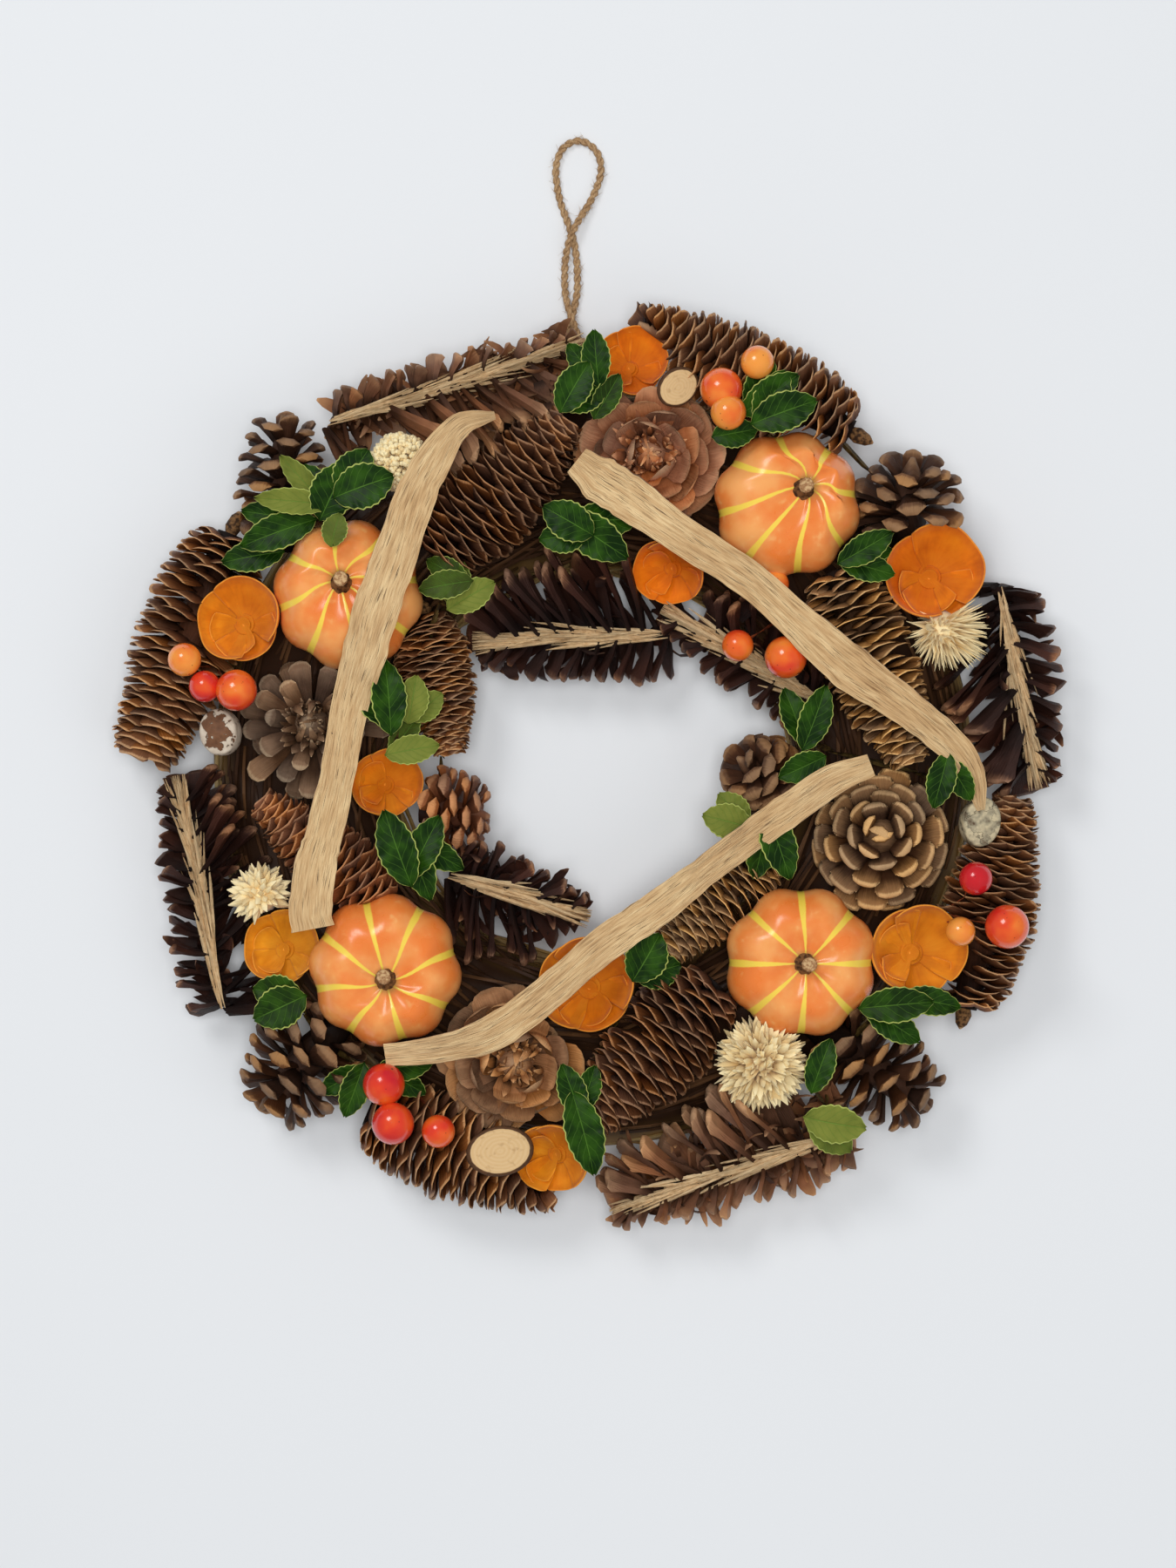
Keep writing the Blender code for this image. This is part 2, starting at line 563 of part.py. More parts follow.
def petal(name, centre, heading, radius, depth, spread, lift):
    """One curled petal: part of a bowl's wall from its foot to a rounded rim."""
    across, up = 3, 2
    outer, inner = [], []
    for i in range(up + 1):
        t = i / up
        for k in range(across + 1):
            u = 2 * k / across - 1
            turn = heading + u * spread * (1 - 0.25 * t * t)
            wall = radius * (0.28 + 0.72 * math.sin(0.5 * math.pi * min(1.0, 0.12 + 0.95 * t)))
            high = depth * t * (1 - 0.30 * u * u * t) + lift
            for rim, thick in ((outer, 0.0), (inner, CUP_THICK)):
                r = wall - thick
                rim.append(Vector((r * math.cos(turn), r * math.sin(turn), high)))
    count = across + 1
    points = outer + inner
    shift = len(outer)
    faces = []
    for i in range(up):
        for k in range(across):
            a = i * count + k
            quad = (a, a + 1, a + 1 + count, a + count)
            faces += [quad[:3], (quad[0], quad[2], quad[3])]
            faces += [tuple(shift + v for v in reversed(f)) for f in faces[-2:]]
    edge = [k for k in range(count)] + [i * count + across for i in range(1, up + 1)]
    edge += [up * count + k for k in range(across - 1, -1, -1)] + [i * count for i in range(up - 1, 0, -1)]
    for a, b in zip(edge, edge[1:] + edge[:1]):
        faces.append((b, a, a + shift, b + shift))
    return mesh_object(name, points, faces, place=centre)


def make_cup(name, foot, lean, radius, petals):
    """A cup of dyed shavings: curled petals that overlap on one small base."""
    tilt = Vector((math.sin(math.radians(lean[0])), math.sin(math.radians(lean[1])) * 0.6, 1.6)).normalized()
    place = axis_place(foot, Vector(foot) + tilt, roll=17 * petals)
    base = mesh_object(name, [
        (r * math.cos(math.tau * k / 8), r * math.sin(math.tau * k / 8), z)
        for r, z in ((radius * 0.24, -CUP_FOOT), (radius * 0.48, 1.3)) for k in range(7)
    ], ring_faces(2, 7), "shaving", place)
    parts = []
    for k in range(petals):
        parts.append(petal(name, place, math.tau * k / petals, radius * (1 - 0.12 * k),
                           radius * (1.15 + 0.05 * k), 1.15 if petals == 3 else 1.35, 0.4 + 0.15 * k))
    hull = grown([p for part in parts for p in world_points(part)] + world_points(base))
    apply_boolean(base, "UNION", parts)
    return base, [hull]


def make_head(name, centre, radius):
    """A dried head: a ball whose surface stands out in short spikes."""
    around, rings = 12, 7
    points, faces = [(0, 0, -radius)], []
    for i in range(1, rings):
        t = math.pi * i / rings
        for k in range(around):
            r = radius * (1.0 if (i + k) % 2 else 0.76)
            turn = math.tau * k / around
            out, up = r * math.sin(t), -r * math.cos(t)
            points.append((out * math.cos(turn), out * math.sin(turn), up))
    points.append((0, 0, radius))
    last = len(points) - 1
    for k in range(around):
        n = (k + 1) % around
        faces.append((0, 1 + n, 1 + k))
        faces.append((last, last - around + k, last - around + n))
        for i in range(rings - 2):
            a, b = 1 + i * around + k, 1 + i * around + n
            faces.append((a, b, b + around, a + around))
    head = mesh_object(name, points, faces, "cream", Matrix.Translation(Vector(centre) * MM))
    return head, [ball_hull(centre, radius)]


def make_disc(name, centre, half, thick, turn, lean, colour):
    """A wood slice or a pod: an oval disc with its rims worn round."""
    around = 12
    points = []
    for share, z in ((0.86, -0.5), (1.0, -0.3), (1.0, 0.3), (0.86, 0.5)):
        for k in range(around):
            a = math.tau * k / around
            points.append((half[0] * share * math.cos(a), half[1] * share * math.sin(a), thick * z))
    tilt = Matrix.Rotation(lean[0], 4, "Y") @ Matrix.Rotation(lean[1], 4, "X")
    place = Matrix.Translation(Vector(centre) * MM) @ tilt @ Matrix.Rotation(math.radians(turn), 4, "Z")
    disc = mesh_object(name, points, ring_faces(4, around), colour, place)
    return disc, [grown(world_points(disc))]


def ribbon_solid(line, room=0.0):
    """A flat strip along its centre line, creased a little, with room added all round."""
    half, rows = RIBBON_THICK * 0.5 + room, []
    for i, (x, y, z, width) in enumerate(line):
        before, after = Vector(line[max(0, i - 1)][:3]), Vector(line[min(len(line) - 1, i + 1)][:3])
        along = (after - before).normalized()
        side = Vector((-along.y, along.x, 0)).normalized()
        up = side.cross(along) if side.cross(along).z > 0 else along.cross(side)
        end = along * room * ((i == len(line) - 1) - (i == 0))
        middle = Vector((x, y, z)) + end
        crease = 0.5 * (-1) ** i
        rows.append([(middle + side * (width + 2 * room) * u + up * (crease if u == 0 else 0), up)
                     for u in (-0.5, 0.0, 0.5)])
    points = [p + up * half for row in rows for p, up in row]
    points += [p - up * half for row in rows for p, up in row]
    shift, count, faces = len(rows) * 3, 3, []
    for i in range(len(rows) - 1):
        for k in range(2):
            a = i * count + k
            faces += [(a, a + 1, a + 1 + count), (a, a + 1 + count, a + count)]
            faces += [tuple(shift + v for v in reversed(f)) for f in faces[-2:]]
    last = (len(rows) - 1) * count
    edge = [0, 1, 2] + [i * count + 2 for i in range(1, len(rows))]
    edge += [last + 1, last] + [i * count for i in range(len(rows) - 2, 0, -1)]
    for a, b in zip(edge, edge[1:] + edge[:1]):
        faces.append((b, a, a + shift, b + shift))
    return points, faces


def make_ribbon(name, line):
    return mesh_object(name, *ribbon_solid(line), "dried_leaf"), [ribbon_solid(line, GAP)]


LEAF_EDGE = [(-0.16, 0.50), (-0.06, 0.30), (0.20, 0.46)]


def leaf_surface(a, b, length, width):
    """A point of the leaf at a along it and b across: arched along, and folded up at the midrib."""
    return Vector((a * length, b * width, 0.10 * length * (1 - 4 * a * a) + 0.30 * abs(b) * width))


def leaf_mesh(name, middle, heading, length, width):
    """One toothed leaf, its base point, and the hull of its space."""
    place = Matrix.Translation(Vector(middle)) @ Matrix.Rotation(math.radians(heading), 4, "Z")
    outline = LEAF_EDGE + [(a, -b) for a, b in LEAF_EDGE] + [(-0.5, 0.0), (-0.02, 0.0), (0.5, 0.0)]
    flat = [place @ leaf_surface(a, b, length, width) for a, b in outline]
    base, rib, tip = 6, 7, 8
    fan = [(base, 0, rib), (0, 1, rib), (1, 2, rib), (2, tip, rib)]
    faces = fan + [tuple(v + 3 if v < 3 else v for v in reversed(f)) for f in fan]
    shift, half = len(flat), Vector((0, 0, LEAF_THICK * 0.5))
    points = [p + half for p in flat] + [p - half for p in flat]
    solid = faces + [tuple(v + shift for v in reversed(f)) for f in faces]
    rim = [base, 0, 1, 2, tip, 5, 4, 3]
    for a, b in zip(rim, rim[1:] + rim[:1]):
        solid.append((b, a, a + shift, b + shift))
    space = [(-0.53, 0.25), (0.0, 0.56), (0.53, 0.15)]
    hull = []
    for a, b in space + [(a, -b) for a, b in space]:
        low = leaf_surface(max(-0.5, min(0.5, a)), b, length, width)
        hull += [place @ Vector((a * length, low.y, low.z - LEAF_THICK - 0.4)),
                 place @ Vector((a * length, low.y, low.z + LEAF_THICK + 0.3))]
    return mesh_object(name, points, solid), place @ leaf_surface(-0.40, 0, length, width), hull


def make_leaves(name, stem, leaves):
    """Leaves on one stem that runs down between the cones."""
    parts = [rod_mesh(name, a, b, STEM_RADIUS) for a, b in zip(stem, stem[1:])]
    hulls = [rod_hull(a, b, STEM_RADIUS) for a, b in zip(stem, stem[1:])]
    first = ball_mesh(name, stem[0], ROOT_RADIUS, "leaf", 4, 2)
    used = set()
    for x, y, z, heading, length, width in leaves:
        leaf, foot, hull = leaf_mesh(name, (x, y, z), heading, length, width)
        joint = min((Vector(p) for p in stem), key=lambda p: (p - foot).length)
        used.add(tuple(joint))
        parts += [leaf, rod_mesh(name, joint, foot, STALK_RADIUS)]
        hulls += [hull, rod_hull(joint, foot, STALK_RADIUS)]
    parts += [ball_mesh(name, joint, JOINT_RADIUS, None, 4, 2) for joint in sorted(used)]
    hulls += [cube_hull(joint, JOINT_RADIUS) for joint in sorted(used | {stem[0]})]
    apply_boolean(first, "UNION", parts)
    return first, hulls


def cone_profile(t, widest, blunt):
    """The cone's radius at t from its base (0) to its tip (1), as a share of the greatest."""
    if t < widest:
        return math.sqrt(max(0.0, 1 - 0.62 * ((widest - t) / widest) ** 2))
    return 1 - (1 - blunt) * ((t - widest) / (1 - widest)) ** 1.8


def cone_rows(length, radius, kind):
    """Rings of (height, [radius of each point]) that raise rows of scales from the core."""
    rows, scales, depth, lean, widest, blunt = CONE_KINDS[kind]
    pitch, rings = length / rows, []
    for i in range(rows):
        for share, raised in ((0.12, False), (0.62, True)):
            t = (i + share) / rows
            full = radius * cone_profile(t, widest, blunt)
            row = []
            for k in range(2 * scales):
                tip = raised and k % 2 == i % 2
                r = full if tip else full * (1 - depth) * (0.92 if raised else 0.86)
                row.append((r, t * length + lean * pitch * (r / full - 0.6) * 2))
            rings.append(row)
    return rings


def cone_mesh(name, base, tip, radius, kind, roll, colour=None):
    length = (Vector(tip) - Vector(base)).length
    rings = cone_rows(length, radius, kind)
    count = len(rings[0])
    points = []
    for row in rings:
        for k, (r, z) in enumerate(row):
            turn = math.tau * k / count
            points.append((r * math.cos(turn), r * math.sin(turn), z))
    faces = ring_faces(len(rings), count)[:-2]
    foot, head = len(points), len(points) + 1
    points += [(0, 0, -0.02 * length), (0, 0, length)]
    last = (len(rings) - 1) * count
    for k in range(count):
        n = (k + 1) % count
        faces += [(foot, n, k), (head, last + k, last + n)]
    return mesh_object(name, points, faces, colour, axis_place(base, tip, roll))


def sawn_mesh(name, base, tip, reach, look, colour=None):
    """Half a cone: scales fan round half of the core, and the sawn core stands proud on the cut."""
    length = (Vector(tip) - Vector(base)).length
    rows, across = 5, 7
    points, rings = [], 0
    stations = [(i, share) for i in range(rows) for share in (0.1, 0.62)] + [(rows, 0.0)]
    for i, share in stations:
        t, raised = (i + share) / rows, share > 0.5
        widest = reach * (0.55 + 0.45 * math.sin(math.pi * min(1.0, 0.25 + 0.8 * t)))
        for k in range(across):
            turn = math.pi * k / (across - 1)
            full = widest * (0.78 - 0.22 * math.cos(turn))
            r = full if raised and k % 2 == i % 2 else full * (0.50 if raised else 0.42)
            points.append((r * math.cos(turn), -r * math.sin(turn),
                           t * length + 0.5 * length / rows * (r / full - 0.5)))
        ridge = 1.2 if raised else -1.6
        points += [(-0.3 * widest, ridge, t * length), (-3.0, 0.4, t * length), (0.0, 3.0, t * length),
                   (3.0, 0.4, t * length), (0.15 * widest, ridge, t * length)]
        rings += 1
    count = across + 5
    faces = ring_faces(rings, count)[:-2]
    foot, head, last = len(points), len(points) + 1, (rings - 1) * count
    points += [(0, -2, points[0][2] - 1.0), (0, -2, length + 1.5)]
    for k in range(count):
        n = (k + 1) % count
        faces += [(foot, n, k), (head, last + k, last + n)]
    return mesh_object(name, points, faces, colour, axis_place(base, tip, look))


def cone_hull(cone):
    """The cone's points moved out from its axis and past its two ends."""
    points = [v.co / MM for v in cone.data.vertices]
    heights = [p.z for p in points]
    middle, hull = (min(heights) + max(heights)) / 2, []
    for x, y, z in points:
        wider = 1 + GROW / max(1.0, math.hypot(x, y))
        end = math.copysign(GROW, z - middle)
        hull.append(cone.matrix_world @ (Vector((x * wider, y * wider, z + end)) * MM) / MM)
    return hull


def build_cones():
    """Every cone by name, as its object and the hulls of its space."""
    made = {}
    for name, base, tip, radius, kind, roll in CONES:
        colour = "spruce" if kind == "long" else "pine"
        cone = cone_mesh(name, base, tip, radius, kind, roll, colour)
        made[name] = (cone, [cone_hull(cone)])
    for name, base, tip, reach, look in SAWN_CONES:
        cone = sawn_mesh(name, base, tip, reach, look, "sawn")
        made[name] = (cone, [cone_hull(cone)])
    for node, (first, second, start, end) in TOUCHING.items():
        (body, hulls), (other, more) = made.pop(first), made.pop(second)
        apply_boolean(body, "UNION", [other, rod_mesh(node, start, end, WIRE_RADIUS, 4)])
        body.name = node
        made[node] = (body, hulls + more)
    return made


def finish(obj):
    if obj.type == "MESH":
        obj.data.shade_smooth()
        obj.data.set_sharp_from_angle(angle=SHARP_ANGLE)


def main():
    clear_scene()
    packing = Packing()
    finish(mesh_object("straw_ring", *ring_solid(), "straw"))
    make_twine()
    packing.add([ring_solid(GAP)])
    packing.add(twine_hulls())
    jobs = [(make_pumpkin, PUMPKINS), (make_spray, SPRAYS), (make_ribbon, RIBBONS), (make_cup, CUPS),
            (make_head, HEADS), (make_disc, DISCS), (make_leaves, LEAVES)]
    for maker, rows in jobs:
        for row in rows:
            piece, hulls = maker(*row)
            packing.clear(piece)
            packing.add(hulls)
            finish(piece)
            piece.name = row[0]
    for name, (piece, hulls) in build_cones().items():
        packing.clear(piece)
        packing.add(hulls)
        finish(piece)


main()
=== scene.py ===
import math
import random

import bmesh
import bpy
import numpy as np
from mathutils import Matrix, Vector


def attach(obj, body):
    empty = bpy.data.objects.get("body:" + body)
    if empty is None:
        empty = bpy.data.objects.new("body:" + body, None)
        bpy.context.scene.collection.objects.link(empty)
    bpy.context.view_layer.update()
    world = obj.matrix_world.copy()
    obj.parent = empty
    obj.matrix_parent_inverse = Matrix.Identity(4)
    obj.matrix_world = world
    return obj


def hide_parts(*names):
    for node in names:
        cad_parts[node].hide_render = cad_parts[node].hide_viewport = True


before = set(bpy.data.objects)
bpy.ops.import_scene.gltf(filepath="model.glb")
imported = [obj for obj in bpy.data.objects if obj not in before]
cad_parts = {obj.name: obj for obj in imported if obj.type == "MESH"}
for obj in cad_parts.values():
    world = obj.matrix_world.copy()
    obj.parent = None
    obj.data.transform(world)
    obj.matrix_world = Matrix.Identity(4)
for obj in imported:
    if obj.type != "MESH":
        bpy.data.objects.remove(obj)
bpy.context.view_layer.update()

bl_info = {
    "name": "Autumn wreath",
    "version": (1, 0, 0),
    "blender": (4, 5, 0),
    "location": "View3D > Sidebar > Wreath",
    "description": "Cones, pumpkins, berries, dried flowers, leaves and a twine loop on a "
                   "straw ring",
    "category": "Object",
}

MM = 0.001
UP = Vector((0, 0, 1))
GOLDEN_ANGLE = 137.508  # degrees between two scales that follow each other round a cone
LEAST_HEIGHT = 0.2  # of every lifted shape above the surface, in millimetres
LEAST_TIP_HEIGHT = 0.8  # of a scale's tip before it is lifted
NEIGHBOUR_HEIGHT = 20  # above which cups, heads and pumpkins stand out from the wreath

# Whole cones: base, tip, greatest radius, kind, roll. Millimetres and degrees, as in the part.
CONES = {
    "spruce_cone_top_right": ((98, 127, 32), (14, 170, 33), 22, "spruce_long", 0),
    "spruce_cone_top": ((-60, 79, 35), (-9, 131, 38), 21, "spruce_dark", 10),
    "spruce_cone_right": ((91, 74, 34), (121, 1, 34), 21, "spruce_tan", 5),
    "spruce_cone_right_outer": ((142, -92, 24), (161, -11, 26), 21, "spruce_thin", 15),
    "spruce_cone_bottom": ((47, -82, 36), (-3, -135, 36), 22, "spruce_dark", 0),
    "spruce_cone_inner_bottom": ((68, -30, 28), (27, -71, 30), 17, "spruce_tan", 20),
    "spruce_cone_bottom_left": ((-86, -132, 26), (-12, -163, 26), 22, "spruce_bold", 8),
    "spruce_cone_left_outer": ((-138.5, 89, 20), (-172.5, 2, 22), 23, "spruce_blunt", 12),
    "spruce_cone_inner_left": ((-64, 58, 26), (-54, 5, 28), 16, "spruce_thin", 0),
    "spruce_cone_left": ((-78, -52, 33), (-126, -13, 33), 16, "spruce_red", 25),
    "pine_cone_top_left": ((-118, 82, 22), (-118, 136, 28), 19, "pine_open", 0),
    "pine_cone_right_top": ((119, 84, 22), (121, 118, 40), 22, "pine_open", 10),
    "pine_cone_bottom_right": ((84, -98, 24), (130, -132, 26), 22, "pine_open", 15),
    "pine_cone_bottom_left": ((-96, -98, 24), (-128, -132, 24), 23, "pine_open", 0),
    "pine_cone_inner_left": ((-66, -17, 24), (-38, -19, 26), 20, "pine_brown", 12),
    "pine_cone_inner_right": ((74, -10, 19), (54, 4, 36), 17, "pine_open", 6),
    "pine_cone_facing": ((110, -30, 16), (108, -24, 51), 30, "pine_facing", 0),
    "rosette_cone_top": ((22, 118, 18), (21, 118, 48), 28, "rosette_red", 0),
    "rosette_cone_bottom": ((-30, -111, 18), (-29, -112, 47), 29, "rosette_tan", 20),
    "rosette_cone_left": ((-106, 14, 18), (-107, 17, 48), 29, "rosette_grey", 10),
}

# What a kind of cone is like: its widest place and the bluntness of its tip, number of scales,
# their opening from the axis at base and tip, width and thickness of a scale, core's share of the
# radius, scale shape, look.
CONE_KINDS = {
    "spruce_long": (0.36, 0.34, 200, (88, 70), 15.0, 0.9, 0.30, "thin", "cone_brown"),
    "spruce_dark": (0.36, 0.34, 170, (90, 72), 18.0, 0.9, 0.30, "thin", "cone_dark"),
    "spruce_tan": (0.36, 0.34, 160, (92, 78), 16.0, 0.8, 0.30, "thin", "cone_tan"),
    "spruce_thin": (0.36, 0.34, 210, (92, 76), 15.5, 0.8, 0.28, "thin", "cone_brown"),
    "spruce_bold": (0.36, 0.34, 150, (88, 68), 18.0, 0.9, 0.30, "thin", "cone_brown"),
    "spruce_blunt": (0.36, 0.56, 200, (92, 66), 16.0, 0.8, 0.28, "thin", "cone_brown"),
    "spruce_red": (0.36, 0.34, 130, (88, 66), 15.0, 0.9, 0.30, "thin", "cone_red"),
    "pine_open": (0.42, 0.44, 50, (112, 38), 11.5, 4.4, 0.24, "thick", "cone_grey"),
    "pine_brown": (0.42, 0.42, 44, (108, 42), 10.5, 3.8, 0.24, "thick", "cone_red"),
    "pine_facing": (0.10, 0.24, 46, (97, 26), 13.0, 3.4, 0.20, "shield", "cone_facing"),
    "rosette_red": (0.30, 0.40, 54, (96, 40), 18.0, 1.5, 0.18, "broad", "cone_petal"),
    "rosette_tan": (0.30, 0.40, 46, (98, 40), 17.0, 2.0, 0.18, "broad", "cone_rosette"),
    "rosette_grey": (0.30, 0.42, 32, (104, 50), 9.0, 3.4, 0.18, "thick", "cone_worn"),
}
# How much fuller than its solid a kind's scales may stand, and how unevenly, in degrees.
FULLER = {"pine_open": 1.10, "rosette_red": 1.12, "rosette_tan": 1.10, "rosette_grey": 1.10}
UNEVEN = {"rosette_red": 16, "rosette_tan": 12, "rosette_grey": 10, "pine_open": 11,
          "pine_brown": 14, "pine_facing": 5}
LEAST_UNEVEN = 4
STALKED = ("spruce_long", "spruce_thin", "spruce_blunt")

# Cones sawn lengthwise: base and tip of the sawn core, reach of the scales, way that the cut looks,
# share of the reach on the short side, width of a scale, look.
SAWN_CONES = {
    "sawn_cone_top_left": ((-98, 131, 30), (-5, 160, 32), 38, -22, 0.34, 12.5, "cone_torn"),
    "sawn_cone_inner_top": ((27, 51, 26), (-43, 48, 26), 42, -22, 0.50, 12.5, "cone_sawn"),
    "sawn_cone_inner_top_right": ((88, 25, 26), (29, 59, 26), 26, -20, 0.62, 10.5, "cone_sawn"),
    "sawn_cone_right": ((154.7, 66, 28), (168.7, -6, 26), 37, -16, 0.50, 16.0, "cone_sawn"),
    "sawn_cone_bottom": ((95, -139.5, 27), (9, -167.5, 27), 38, -20, 0.50, 12.5, "cone_torn"),
    "sawn_cone_left": ((-141, -90, 25), (-157, -6, 26), 36, -16, 0.48, 13.5, "cone_sawn"),
    "sawn_cone_inner_bottom_left": ((-52, -42, 30), (-4, -57, 28), 30, 0, 0.55, 12.5, "cone_sawn"),
}

# What a sawn cone's look brings: how wildly its scales stand, and how many curled splinters.
SAWN_LOOKS = {"cone_torn": (1.0, 120), "cone_sawn": (0.45, 34)}
SAWN_LAYERS, CUT_FIBRES, CENTRE_FIBRES = 8, 110, 80

# Cones that touch share a node of the part.
TOUCHING = {
    "sawn_cones_inner_top": ("sawn_cone_inner_top", "sawn_cone_inner_top_right"),
    "cones_inner_bottom": ("spruce_cone_bottom", "spruce_cone_inner_bottom"),
    "cones_left": ("rosette_cone_left", "spruce_cone_left"),
    "cones_bottom_left": ("spruce_cone_bottom_left", "pine_cone_bottom_left"),
    "cones_bottom_right": ("sawn_cone_bottom", "pine_cone_bottom_right"),
    "cones_top_left": ("sawn_cone_top_left", "pine_cone_top_left"),
}

PUMPKIN_FOOT = 18.7  # height of a pumpkin's foot above the surface
LOBES = 8

# Pumpkins: centre, radius, height, place of the stem from the centre, turn of the lobes in degrees.
PUMPKINS = {
    "pumpkin_top_right": ((73.5, 99), 27.0, 42, (6, 4), 8),
    "pumpkin_top_left": ((-92.5, 65), 27.5, 42, (-1, 4), 12),
    "pumpkin_bottom_left": ((-78.5, -77), 28.0, 42, (0, -3), 15),
    "pumpkin_bottom_right": ((78.5, -74), 28.0, 42, (1, 0), 0),
}

# Cups of dyed wood shaving: centre of the foot, lean of the mouth, radius, step of the petals'
# turn, how golden the dye is.
CUPS = {
    "cup_top": ((14, 151, 26), (10, 60), 12.0, 2, 0.0),
    "cup_inner_top": ((31, 76, 26), (-25, -80), 12.5, 2, 0.0),
    "cup_right_top": ((128, 72, 26), (10, 20), 16.5, 3, 0.1),
    "cup_right_bottom": ((121, -71, 26), (20, 10), 16.0, 2, 0.45),
    "cup_bottom": ((-1, -84, 25), (-10, 10), 16.5, 3, 0.3),
    "cup_bottom_outer": ((-13, -147, 28), (-25, -30), 13.0, 2, 0.5),
    "cup_left_bottom": ((-117, -70, 24), (-10, 25), 13.0, 2, 0.75),
    "cup_left_top": ((-132, 54, 28), (-15, 20), 14.5, 3, 0.4),
    "cup_inner_left": ((-79, -7, 22), (10, 10), 12.0, 2, 0.3),
}

# A cup's petals: width, turn, turn for each step of the cup, lean outwards, depth, height of the
# foot. The last one lies inside.
PETALS = ((0.98, 0, 0, 6, 1.05, 0.0), (0.94, 135, 0, 12, 0.86, 0.2), (0.82, 240, 0, 18, 0.72, 0.4),
          (0.66, 70, 40, 28, 0.62, 1.4))
# How far a petal's rim is cut down, by degrees from its middle: a heart's notch and its two sides.
PETAL_RIM = ((0, 4, 0.36), (4, 13, 0.26), (13, 22, 0.10), (22, 31, 0.02), (48, 57, 0.02),
             (57, 66, 0.07), (66, 75, 0.16), (75, 84, 0.30), (84, 95, 0.50))

# Dried heads: centre, radius, kind.
HEADS = {
    "dried_head_top_left": ((-73, 115, 40), 11.5, "tufted"),
    "dried_head_right": ((133, 51, 36), 14.0, "spiky"),
    "dried_head_bottom": ((63.5, -112, 38), 17.0, "full"),
    "dried_head_left": ((-126, -48, 36), 12.0, "star"),
}

# What a kind of head is like: shape, number and width of its bits, where they start on the radius.
HEAD_KINDS = {
    "tufted": ("floret", 620, 1.9, 0.55),
    "spiky": ("spike", 300, 1.5, 0.35),
    "full": ("sliver", 420, 3.2, 0.42),
    "star": ("sliver", 120, 3.2, 0.12),
}

# Berry sprays: root, berries as (place, radius, redness).
SPRAYS = {
    "berries_top_right": ((54, 134, 24), [
        ((61.5, 151, 56), 6.3, 0.15), ((48, 141, 57), 8.0, 0.45), ((50.5, 132, 60), 6.7, 0.2)]),
    "berries_inner_right": ((74, 58, 22), [
        ((54.5, 45.5, 46), 6.0, 0.45), ((72.5, 41, 48), 8.0, 0.5), ((68.5, 69, 40), 5.6, 0.2)]),
    "berries_right": ((133, -56, 24), [
        ((143.5, -42, 52), 6.3, 1.0), ((155, -60, 54), 8.3, 0.6), ((138, -62, 50), 5.6, 0.1)]),
    "berries_bottom_left": ((-70, -122, 24), [
        ((-78.5, -119.5, 48), 8.0, 0.6), ((-75, -134, 50), 8.0, 0.75),
        ((-58, -137, 49), 6.3, 0.6)]),
    "berries_left": ((-144, 38, 22), [
        ((-153, 40, 52), 6.3, 0.1), ((-145.5, 30, 51), 6.0, 0.95), ((-133.5, 28.5, 53), 7.8, 0.6)]),
}

# Wood slices and pods: centre, half axes, thickness, turn in degrees, lean in radians, shade. A pod
# of shade 1 is opened.
SLICES = {
    "wood_slice_top": ((32, 143, 44), (8.5, 7.0), 3.0, 40, (0.15, 0.2), 0.5),
    "wood_slice_bottom": ((-35, -145, 43), (13.0, 9.5), 4.0, 8, (0.05, -0.1), 0.5),
}
PODS = {
    "pod_right": ((146.5, -21, 36), (7.5, 9.5), 8.0, -10, (0.2, 0.0), 0.0),
    "pod_left": ((-141, 13, 34), (7.5, 9.0), 9.0, 10, (-0.2, 0.0), 1.0),
}

STRIP_WIDTH = 10  # of a strip before its line sets its width
# How far a strip twists to and fro along its line, in radians.
STRIP_TWISTS = {"dried_strip_left": 0.12, "dried_strip_top_right": 0.12, "dried_strip_bottom": 0.42}

# Strips of dried leaf: centre line as (x, y, z, width).
STRIPS = {
    "dried_strip_left": [
        (-36.5, 131, 58.5, 3), (-50, 127, 58.5, 10), (-60.5, 112.5, 58, 14), (-67, 99, 57, 15),
        (-73.5, 79, 59.5, 16), (-80.5, 59.5, 60.2, 17), (-85.5, 41.5, 57.8, 17),
        (-91, 23.5, 50.5, 14), (-96, -3.5, 49, 13), (-101, -26, 49.5, 14), (-104, -37, 49.5, 15.5),
        (-106, -54, 50, 17), (-105, -61, 50, 16)],
    "dried_strip_top_right": [
        (-6, 114.5, 54, 11), (3, 107.5, 53, 17), (12.5, 101.5, 52, 17), (33.5, 86.5, 52.5, 14),
        (58.5, 70, 55, 14), (75.5, 55, 56, 14), (96, 37, 55.5, 17), (119, 21, 53, 13.5),
        (138, 5, 46, 12), (144, -6, 43, 9), (146.5, -16.5, 42, 3)],
    "dried_strip_bottom": [
        (104, 0.5, 56.5, 8), (89, -5.5, 55.5, 13), (74, -16, 53, 13), (59, -26.5, 52, 12),
        (41, -40, 51, 12), (24.5, -53, 51, 13), (3, -68, 52, 14), (-20.5, -88, 53, 13),
        (-39, -100.5, 53, 14), (-58, -106, 51, 11), (-78, -108.5, 47, 8)],
}

